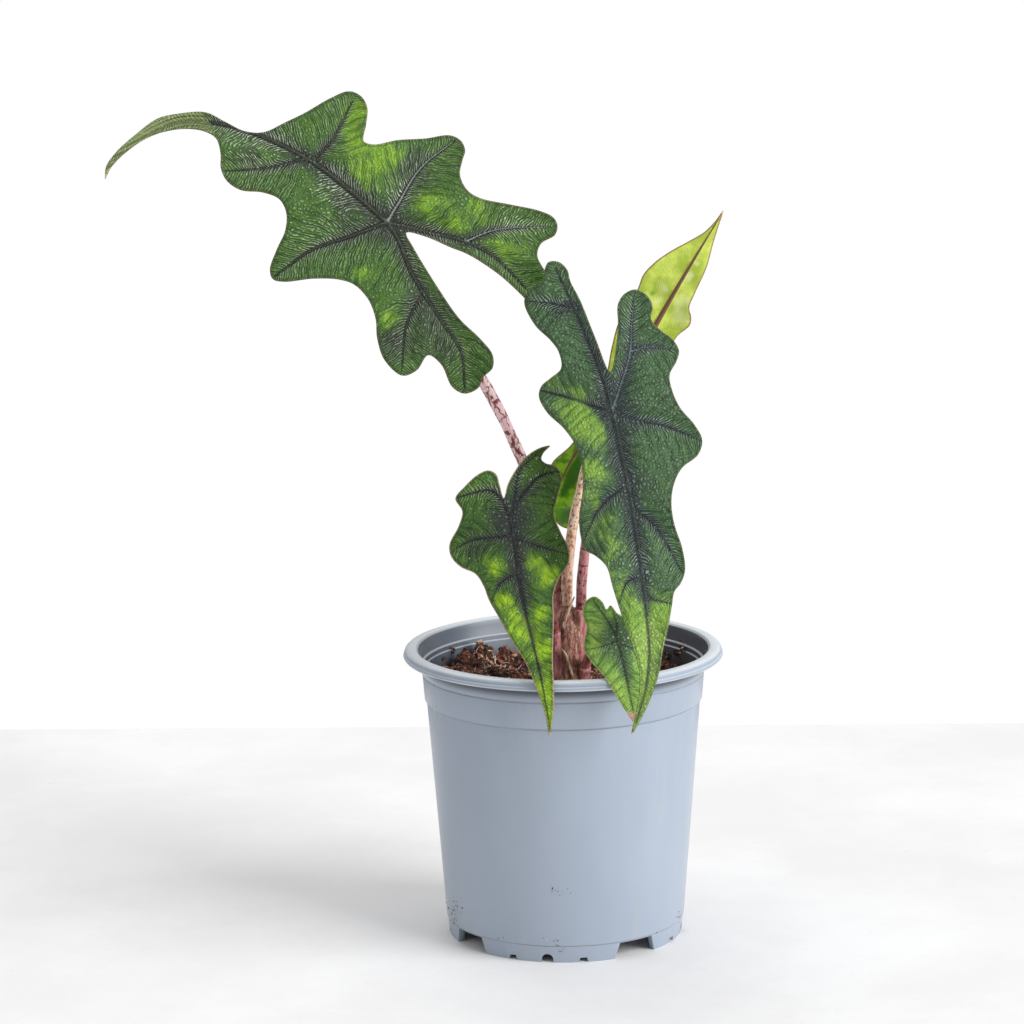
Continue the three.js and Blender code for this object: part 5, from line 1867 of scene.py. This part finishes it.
@dataclass
class Pot:
    """The nursery pot: a turned body with a rolled rim, a collar, a skirt with feet and drain holes."""

    sides: int = 224
    foot_count: int = 4
    foot_height: float = 6.2
    foot_radius: float = 41.7
    foot_turn: float = -9.7
    gap_width: float = 14.6
    gap_flare: float = 1.9
    arch_width: float = 4.5
    arch_height: float = 3.2
    notch_width: float = 3.4
    notch_height: float = 1.7
    notch_turn: float = 17.4
    drain_radius: float = 4.5
    drain_circle: float = 37.0
    floor_z: float = 8.0
    floor_thickness: float = 1.5
    rounding: float = 0.25
    corner_angle: float = 28.0
    smooth_angle: float = 40.0
    lip_level: float = 101.0
    profile: tuple[Point, ...] = (
        (42.8, 8), (43.8, 9), (50.2, 89.6), (51.2, 91), (51.9, 101.6), (52.5, 102), (52.6, 103.5),
        (53.4, 104), (54.1, 107.8), (54.5, 109.2), (55.4, 109.9), (56.6, 110), (57.8, 109.95), (58.8, 109.6),
        (59.4, 109), (59.5, 108.4), (59.3, 108.1), (59.9, 107.7), (60, 107.2), (59.6, 106.5), (58.4, 106.2),
        (55.4, 105.7), (54.5, 105), (53.9, 103.5), (53.3, 101.1), (52.75, 100.7), (52.75, 100.4),
        (52.95, 100.1), (52.2, 90.7), (51.7, 90.4), (51.3, 89.9), (51.4, 89.3), (45.1, 6.5), (44.8, 6.2),
        (44.2, 0), (41.7, 0), (42, 6.5),
    )

    def wedge(self, turn: float, top: float, bottom: float, height: float) -> Piece:
        """A cutter through the skirt that widens downwards.

        Args:
            turn: its angle from the front, in degrees.
            top: its width at the top.
            bottom: its width where it leaves the skirt.
            height: its height above the floor.

        Returns:
            The cutter.
        """
        deselect()
        bpy.ops.mesh.primitive_cube_add(size=MM, location=(0, -(self.foot_radius + 1) * MM, 0))
        cutter = bpy.context.object
        cutter.scale = (top, 10, 2 * height)
        bpy.ops.object.transform_apply(location=False, rotation=False, scale=True)
        for vertex in cutter.data.vertices:
            if vertex.co.z < 0:
                vertex.co.x *= (2 * bottom - top) / top
        return self.placed(cutter, turn)

    def arch(self, turn: float) -> Piece:
        """The small arched cutter in the middle of a foot.

        Args:
            turn: its angle from the front, in degrees.

        Returns:
            The cutter.
        """
        deselect()
        radius = self.arch_width / 2
        where = (0, -(self.foot_radius + 1) * MM, (self.arch_height - radius) * MM)
        lying = (math.pi / 2, 0, 0)
        bpy.ops.mesh.primitive_cylinder_add(
            vertices=32, radius=radius * MM, depth=10 * MM, location=where, rotation=lying
        )
        cutter = bpy.context.object
        bpy.ops.object.transform_apply(location=False, rotation=True, scale=False)
        for vertex in cutter.data.vertices:
            if vertex.co.z < 0:
                vertex.co.z -= 3 * MM
        return self.placed(cutter, turn)

    def drain(self, turn: float) -> Piece:
        """A round cutter through the floor.

        Args:
            turn: its angle from the front, in degrees.

        Returns:
            The cutter.
        """
        deselect()
        middle = self.floor_z - self.floor_thickness / 2
        where = (0, -self.drain_circle * MM, middle * MM)
        bpy.ops.mesh.primitive_cylinder_add(
            vertices=40, radius=self.drain_radius * MM, depth=6 * MM, location=where
        )
        return self.placed(bpy.context.object, turn)

    def placed(self, cutter: Piece, turn: float) -> Piece:
        """Turns a cutter from the front about the pot's axis and moves it there.

        Args:
            cutter: the cutter, at the front of an axis through the origin.
            turn: the angle, in degrees.

        Returns:
            The cutter.
        """
        centre = Matrix.Translation((AXIS * MM).tolist())
        cutter.matrix_world = centre @ Matrix.Rotation(math.radians(turn), 4, "Z") @ cutter.matrix_world
        return cutter

    def cutters(self) -> list[Piece]:
        """Makes the cutters of the feet, the arches, the notches and the drain holes.

        Returns:
            The cutters.
        """
        made = []
        step = 360 / self.foot_count
        for foot in range(self.foot_count):
            turn = self.foot_turn + foot * step
            wide = self.gap_width + 2 * self.gap_flare
            made.append(self.wedge(turn + step / 2, self.gap_width, wide, self.foot_height - 0.2))
            made.append(self.arch(turn))
            made.append(self.drain(turn + step / 2))
            for side in (-1, 1):
                at = turn + side * self.notch_turn
                made.append(self.wedge(at, 0.75 * self.notch_width, self.notch_width, self.notch_height))
        return made

    def build(self) -> Piece:
        """Builds the pot, cuts its feet and holes and rounds its corners.

        Returns:
            The pot's object.
        """
        pot = turned("pot_skin", np.array(self.profile), (0.0, 0.0), self.sides)
        select_only(*self.cutters())
        bpy.ops.object.join()
        cutter = bpy.context.object
        select_only(pot)
        cut = pot.modifiers.new("cuts", "BOOLEAN")
        cut.operation = "DIFFERENCE"
        cut.solver = "EXACT"
        cut.object = cutter
        bpy.ops.object.modifier_apply(modifier=cut.name)
        bpy.data.objects.remove(cutter)
        soft = pot.modifiers.new("soft corners", "BEVEL")
        soft.width = self.rounding * MM
        soft.segments = 2
        soft.limit_method = "ANGLE"
        soft.angle_limit = math.radians(self.corner_angle)
        bpy.ops.object.modifier_apply(modifier=soft.name)
        bpy.ops.object.shade_smooth_by_angle(angle=math.radians(self.smooth_angle))
        # Points that face the axis get painted shade in the finish, and the rim's top gets a painted
        # highlight.
        points = points_of(pot) * np.array([1.0, 1.0, 0.0])
        normals = np.array([tuple(vertex.normal) for vertex in pot.data.vertices])
        inward = -np.sum(normals * points, axis=1) / np.linalg.norm(points, axis=1)
        upward = smoothstep(normals[:, 2], 0.55, 0.95) * (points_of(pot)[:, 2] > self.lip_level)
        keep_values(pot, {"inner": smoothstep(inward, 0.3, 0.8), "top": upward})
        return pot

    def dress(self) -> None:
        """Builds and dresses the pot."""
        finish_piece(self.build(), PotPlastic().material(), "pot_plastic", "pot")


@dataclass(frozen=True)
class Peat:
    """Finish of the potting soil: dark moist peat with reddish and pale crumbs."""

    name: str = "moist_peat"
    dark: Colour = srgb(36, 20, 15)
    brown: Colour = srgb(156, 94, 70)
    pale: Colour = srgb(232, 198, 164)

    def material(self) -> Material:
        """Builds the finish.

        Returns:
            The material.
        """
        recipe = Recipe(self.name)
        place = recipe.place()
        crumb = recipe.cells(place, 900.0)
        cloud = recipe.noise(place, 420.0, 5.0, 0.7)
        tint = recipe.plus(recipe.value("tint"), recipe.rise(cloud, 0.35, 0.65, -0.25, 0.6))
        colour = recipe.mix(recipe.rise(tint, 0.2, 0.9), self.dark, self.brown)
        colour = recipe.mix(recipe.rise(tint, 1.05, 1.4), colour, self.pale)
        colour = recipe.mix(recipe.rise(crumb, 0.45, 0.9, 0.0, 0.75), colour, self.dark)
        height = recipe.plus(crumb, recipe.times(cloud, 1.2))
        return recipe.finish(colour, 0.85, height, 0.0012)


@dataclass
class Soil:
    """The potting soil: a lumpy bed inside the pot, loose crumbs on it and fine pale roots."""

    level: float = 94.0
    floor: float = 8.3
    floor_radius: float = 42.2
    wall_low: Point = (43.35, 10.4)
    wall_high: Point = (49.7, 89.6)
    edge_radius: float = 49.75
    rough_inside: float = 47.0
    smooth_from: float = 50.0
    spread: float = 49.0
    crumb_limit: float = 49.4
    crown_clear: float = 9.5
    pale_from: float = 0.88
    pale_tint: float = 1.3
    splash_size: float = 0.44
    root_reach: float = 44.0
    root_limit: float = 48.0
    root_step: float = 0.9
    rings: int = 110
    sides: int = 300
    crumbs: int = 2400
    heaped: float = 0.3
    clods: int = 1100
    roots: int = 75
    tangled: int = 22
    tangle: Point = (-26, 26)
    wall_at_soil: float = 51.2
    wall_slope: float = 0.07
    wall_base: float = 91.0
    lumps: tuple[tuple[float, float, float, float], ...] = (
        (-31, 35, 4.5, 9.5), (-37, 27, 5, 7), (-21.5, 38, 3.6, 7), (-12, 40, 5, 4.5), (-42, 14, 8, 4),
        (-33, 3, 7, 2.5), (-24, 14, 6, 2.5), (38, 25, 5, 4), (27, 35, 6, 3), (44, 12, 4.5, 3.5),
        (22, 8, 7, 2), (-22, -26, 6, 3), (12, -36, 6, 2.5), (36, -22, 5, 2.5),
    )
    stuck: tuple[tuple[float, float, float, int], ...] = (
        (-125.6, 101.6, 1.0, 9), (-118, 100.2, 0.6, 5), (117, 103.3, 1.3, 16), (121, 100.3, 1.2, 14),
        (127.7, 98.4, 1.2, 12), (150, 101, 0.8, 6), (-60, 100, 0.8, 6), (40, 101, 0.8, 5),
    )
    splashed: tuple[tuple[float, float, float, int], ...] = (
        (-4, 28.5, 2.2, 15), (-66, 13, 3.4, 26), (-72, 8, 2.6, 22), (-7, 8, 1.6, 9), (-4, 4.7, 0.6, 4),
        (72, 8.3, 1.6, 12), (41, 7.8, 3, 5), (-33.6, 6.1, 2, 4), (3.4, 102.4, 0.2, 2), (-90, 12, 3, 8),
    )
    outer_wall: tuple[Point, ...] = ((0, 44.2), (6.2, 44.8), (6.5, 45.1), (89.3, 51.4), (101, 53))

    def relief(self, places: Array) -> Array:
        """How far the soil stands above its mean level.

        Args:
            places: points across the pot.

        Returns:
            The height at each.
        """
        x, y = places[:, 0], places[:, 1]
        height = 0.9 * np.sin(0.31 * x + 0.8) * np.cos(0.27 * y) + 0.6 * np.sin(0.55 * x - 0.47 * y)
        for right, back, size, tall in self.lumps:
            height += tall * np.exp(-((x - right) ** 2 + (y - back) ** 2) / size**2)
        flat = places[:, :2]
        crumbly = 0.45 * wander(flat, 3.1, 1.0) + 0.3 * wander(flat, 1.7, 2.0) - 0.9
        draw = random.Random(5)
        domes = np.zeros(len(places))
        for _ in range(self.clods):
            right, back = draw.uniform(-self.spread, self.spread), draw.uniform(-self.spread, self.spread)
            size = 0.8 + 1.9 * draw.random() ** 2
            gap = size**2 - (x - right) ** 2 - (y - back) ** 2
            domes = np.maximum(domes, 0.85 * np.sqrt(np.maximum(gap, 0)))
        return height + (crumbly + domes) * smoothstep(np.hypot(x, y), self.smooth_from, self.rough_inside)

    def bed(self) -> Piece:
        """Builds the bed from rings and raises its lumps.

        Returns:
            The bed's object.
        """
        inward = [(self.edge_radius * (1 - i / self.rings), self.level) for i in range(self.rings)]
        outer = [(self.floor_radius, self.floor), self.wall_low, self.wall_high]
        bed = turned("soil_bed", np.array([*outer, *inward]), (0.0, 0.0), self.sides)
        bed.data.shade_smooth()
        points = points_of(bed)
        top = points[:, 2] > self.level - 0.5
        points[top, 2] += self.relief(points[top])
        move_points(bed, points)
        keep_values(bed, {"tint": 0.25 + 0.2 * wander(points, 7.0)})
        return bed

    def scattered(self, draw: random.Random) -> list[tuple[float, float, float, float]]:
        """Draws the places of the crumbs.

        Args:
            draw: the random numbers.

        Returns:
            For each crumb its place across the pot, its size and its tint.
        """
        made = []
        while len(made) < self.crumbs:
            x, y = draw.uniform(-self.spread, self.spread), draw.uniform(-self.spread, self.spread)
            if draw.random() < self.heaped:
                lump = draw.choice(self.lumps)
                x, y = draw.gauss(lump[0], lump[2]), draw.gauss(lump[1], lump[2])
            size = 0.35 + 0.5 * draw.random() ** 2 + 1.3 * draw.random() ** 7
            off_crown = math.hypot((x - CROWN_MIDDLE[0]) / CROWN_NARROW, y - CROWN_MIDDLE[1])
            if math.hypot(x, y) < self.crumb_limit - size and off_crown > self.crown_clear:
                made.append((x, y, size, draw.random()))
        return made

    def loose(self) -> Piece:
        """Copies a dented lump for every crumb and fuses them in one piece.

        Returns:
            The crumbs' object.
        """
        deselect()
        bpy.ops.mesh.primitive_ico_sphere_add(subdivisions=1, radius=1.0)
        lump = bpy.context.object
        shape = np.array([tuple(vertex.co) for vertex in lump.data.vertices])
        faces = np.array([tuple(face.vertices) for face in lump.data.polygons])
        bpy.data.objects.remove(lump)
        draw = random.Random(11)
        points, triangles, tints = [], [], []
        loose = self.scattered(draw)
        ground = self.level + self.relief(np.array([crumb[:2] for crumb in loose]))
        placed = [(x, y, z + 0.25 * size, size, tint) for (x, y, size, tint), z in zip(loose, ground)]
        for x, y, z, size, tint in placed + self.on_wall(draw):
            dents = np.array([[draw.uniform(0.6, 1.25)] for _ in shape])
            angle = draw.uniform(0, ANY_ANGLE)
            turn = np.array(Matrix.Rotation(angle, 3, (draw.random(), draw.random(), 0.5)))
            long = np.array([1.0, draw.uniform(0.6, 1.0), draw.uniform(0.5, 0.9)])
            body = (shape * dents * long) @ turn * size
            triangles.append(faces + len(points) * len(shape))
            points.append(body + np.array([x, y, z]))
            tints.append(np.full(len(shape), self.pale_tint if tint > self.pale_from else tint))
        piece = mesh_piece("soil_crumbs", np.vstack(points), np.vstack(triangles))
        piece.data.shade_flat()
        keep_values(piece, {"tint": np.concatenate(tints)})
        return piece

    def on_wall(self, draw: random.Random) -> list[tuple[float, float, float, float, float]]:
        """Draws the crumbs that stick to the pot's inner wall in small clumps.

        Args:
            draw: the random numbers.

        Returns:
            For each crumb its place, its size and its tint.
        """
        made = []
        heights, radii = zip(*self.outer_wall)
        for turn, height, spread, count in self.stuck + self.splashed:
            for _ in range(count):
                size = draw.uniform(0.3, 0.75)
                z = draw.gauss(height, 0.7 * spread)
                wall = self.wall_at_soil + self.wall_slope * (z - self.wall_base)
                wall -= 0.6 * size + abs(draw.gauss(0, 0.3))
                if (turn, height, spread, count) in self.splashed:
                    size *= self.splash_size
                    wall = float(np.interp(z, heights, radii)) + 0.1 * size
                angle = math.radians(turn) + draw.gauss(0, spread) / wall
                made.append((wall * math.sin(angle), -wall * math.cos(angle), z, size, draw.random()))
        return made

    def fibres(self) -> Piece:
        """Lays thin curled roots on the bed.

        Returns:
            The roots' object.
        """
        draw = random.Random(23)
        lines = []
        for number in range(self.roots):
            heading, bend = draw.uniform(0, ANY_ANGLE), draw.gauss(0, 0.25)
            reach = self.root_reach * math.sqrt(draw.uniform(0.06, 1))
            place = np.array([reach * math.cos(heading * 7), reach * math.sin(heading * 7)])
            if number < self.tangled:
                place = np.array([draw.gauss(spot, 3) for spot in self.tangle])
            path = []
            for _ in range(draw.randint(6, 12)):
                path.append(place)
                heading += bend + draw.gauss(0, 0.35)
                place = place + self.root_step * np.array([math.cos(heading), math.sin(heading)])
            path = np.array([p for p in path if math.hypot(*p) < self.root_limit])
            if len(path) < 4:
                continue
            heights = self.level + self.relief(path)
            heights = np.maximum(heights, heights.mean()) + 0.15
            line = even_line(np.column_stack([path, heights]), 0.5)
            lines.append((line, np.full(len(line), draw.uniform(0.08, 0.17))))
        return swept("soil_roots", lines, 1)

    def dress(self) -> None:
        """Builds and dresses the bed, the crumbs and the roots."""
        peat = Peat().material()
        finish_piece(self.bed(), peat, "soil", "potting_soil")
        finish_piece(self.loose(), peat, "soil", "potting_soil")
        finish_piece(self.fibres(), PALE_ROOT.material(), "soil", "potting_soil")


@dataclass(frozen=True)
class PaleTable:
    """Finish of the table top: clouded white with a faint grain."""

    name: str = "pale_table"
    dark: Colour = srgb(234, 233, 233)
    light: Colour = srgb(242, 242, 242)
    grain: Colour = srgb(222, 221, 220)

    def material(self) -> Material:
        """Builds the finish.

        Returns:
            The material.
        """
        recipe = Recipe(self.name)
        cloud = recipe.noise(recipe.place(), 9.0, 6.0, 0.6)
        grain = recipe.noise(recipe.place(), 260.0, 4.0, 0.7)
        colour = recipe.mix(recipe.rise(cloud, 0.35, 0.7), self.dark, self.light)
        return recipe.finish(recipe.mix(recipe.rise(grain, 0.58, 0.75, 0.0, 0.5), colour, self.grain), 0.6)


@dataclass
class Studio:
    """The pale table, the light and the camera."""

    eye: Spot = (-18.5, -1275.4, 405.1)
    pitch: float = 79.17
    roll: float = -0.71
    lens: float = 122.4
    table_back: float = 307.0
    table_turn: float = -1.45
    table_size: float = 3200.0
    table_sink: float = 0.05
    lit_height: float = 150.0
    sensor: float = 36.0
    sky: float = 0.48
    lamps: tuple[tuple[str, Spot, float, float], ...] = (
        ("key", (3915, -2052, 2430), 271.0, 3.5),
        ("fill", (-900, -500, 500), 1.2, 0.9),
        ("top", (-150, 450, 1000), 3.4, 0.8),
    )

    def table(self) -> None:
        """Builds the table top, whose back edge shows behind the pot."""
        deselect()
        half = self.table_size / 2
        turn = math.radians(self.table_turn)
        centre = (half * math.sin(turn), self.table_back - half * math.cos(turn), -self.table_sink)
        place = ((np.array(centre) + AXIS) * MM).tolist()
        bpy.ops.mesh.primitive_plane_add(size=self.table_size * MM, location=place, rotation=(0, 0, turn))
        table = settle(bpy.context.object, "table_top")
        table.data.materials.append(PaleTable().material())

    def light(self) -> None:
        """Sets a white surround that lights weakly, a soft key from the right, a fill and a top light."""
        world = bpy.data.worlds.new("white_surround")
        world.use_nodes = True
        tree = world.node_tree
        sky = tree.nodes["Background"]
        sky.inputs["Color"].default_value = (1.0, 1.0, 1.0, 1.0)
        backdrop = tree.nodes.new("ShaderNodeMapRange")
        backdrop.inputs["To Min"].default_value = self.sky
        seen_by_camera = tree.nodes.new("ShaderNodeLightPath").outputs["Is Camera Ray"]
        tree.links.new(seen_by_camera, backdrop.inputs["Value"])
        tree.links.new(backdrop.outputs[0], sky.inputs["Strength"])
        bpy.context.scene.world = world
        for name, place, power, size in self.lamps:
            lamp = bpy.data.lights.new(name, "AREA")
            lamp.energy = power
            lamp.size = size
            lit = bpy.data.objects.new(name, lamp)
            bpy.context.collection.objects.link(lit)
            where = (np.array(place) + AXIS) * MM
            aim = (np.array([0, 0, self.lit_height]) + AXIS) * MM - where
            lit.location = where
            lit.rotation_euler = Vector(aim).to_track_quat("-Z", "Y").to_euler()

    def camera(self) -> None:
        """Places the camera at the photograph's viewing angle."""
        deselect()
        bpy.ops.object.camera_add()
        camera = bpy.context.object
        camera.name = "viewer"
        tilt = Matrix.Rotation(math.radians(self.pitch), 4, "X")
        roll = Matrix.Rotation(math.radians(self.roll), 4, "Z")
        place = Matrix.Translation(((np.array(self.eye) + AXIS) * MM).tolist())
        camera.matrix_world = place @ tilt @ roll
        camera.data.lens = self.lens
        camera.data.sensor_width = self.sensor
        bpy.context.scene.camera = camera

    def build(self) -> None:
        """Builds the whole studio and sets plain colour handling."""
        self.table()
        self.light()
        self.camera()
        bpy.context.scene.view_settings.view_transform = "Standard"


def main() -> None:
    """Builds the pot, the soil and the plant, and the studio round them."""
    Studio().build()
    Pot().dress()
    Soil().dress()
    stalks = []
    for shape in LEAVES:
        young = shape.facing is Facing.AWAY
        blade = Blade(shape, ripple_height=0.05 if young else 0.21)
        skin = BLADE_SKINS[shape.name].material()
        finish_piece(blade.build(), skin, "young_blade" if young else "green_blade", shape.name + "_blade")
        root = np.array([shape.junction], float)
        stalk = Stalk(shape, float(blade.depth(root, blade.measure(root))[0]))
        skin = STALK_SKINS[shape.name].material()
        finish_piece(stalk.build(), skin, "tan_stalk" if young else "pink_stalk", shape.name + "_stalk")
        stalks.append(stalk)
    StemBase(tuple(stalks)).dress()


if __name__ == "__main__":
    logging.basicConfig(level=logging.INFO, format="%(message)s")
    main()
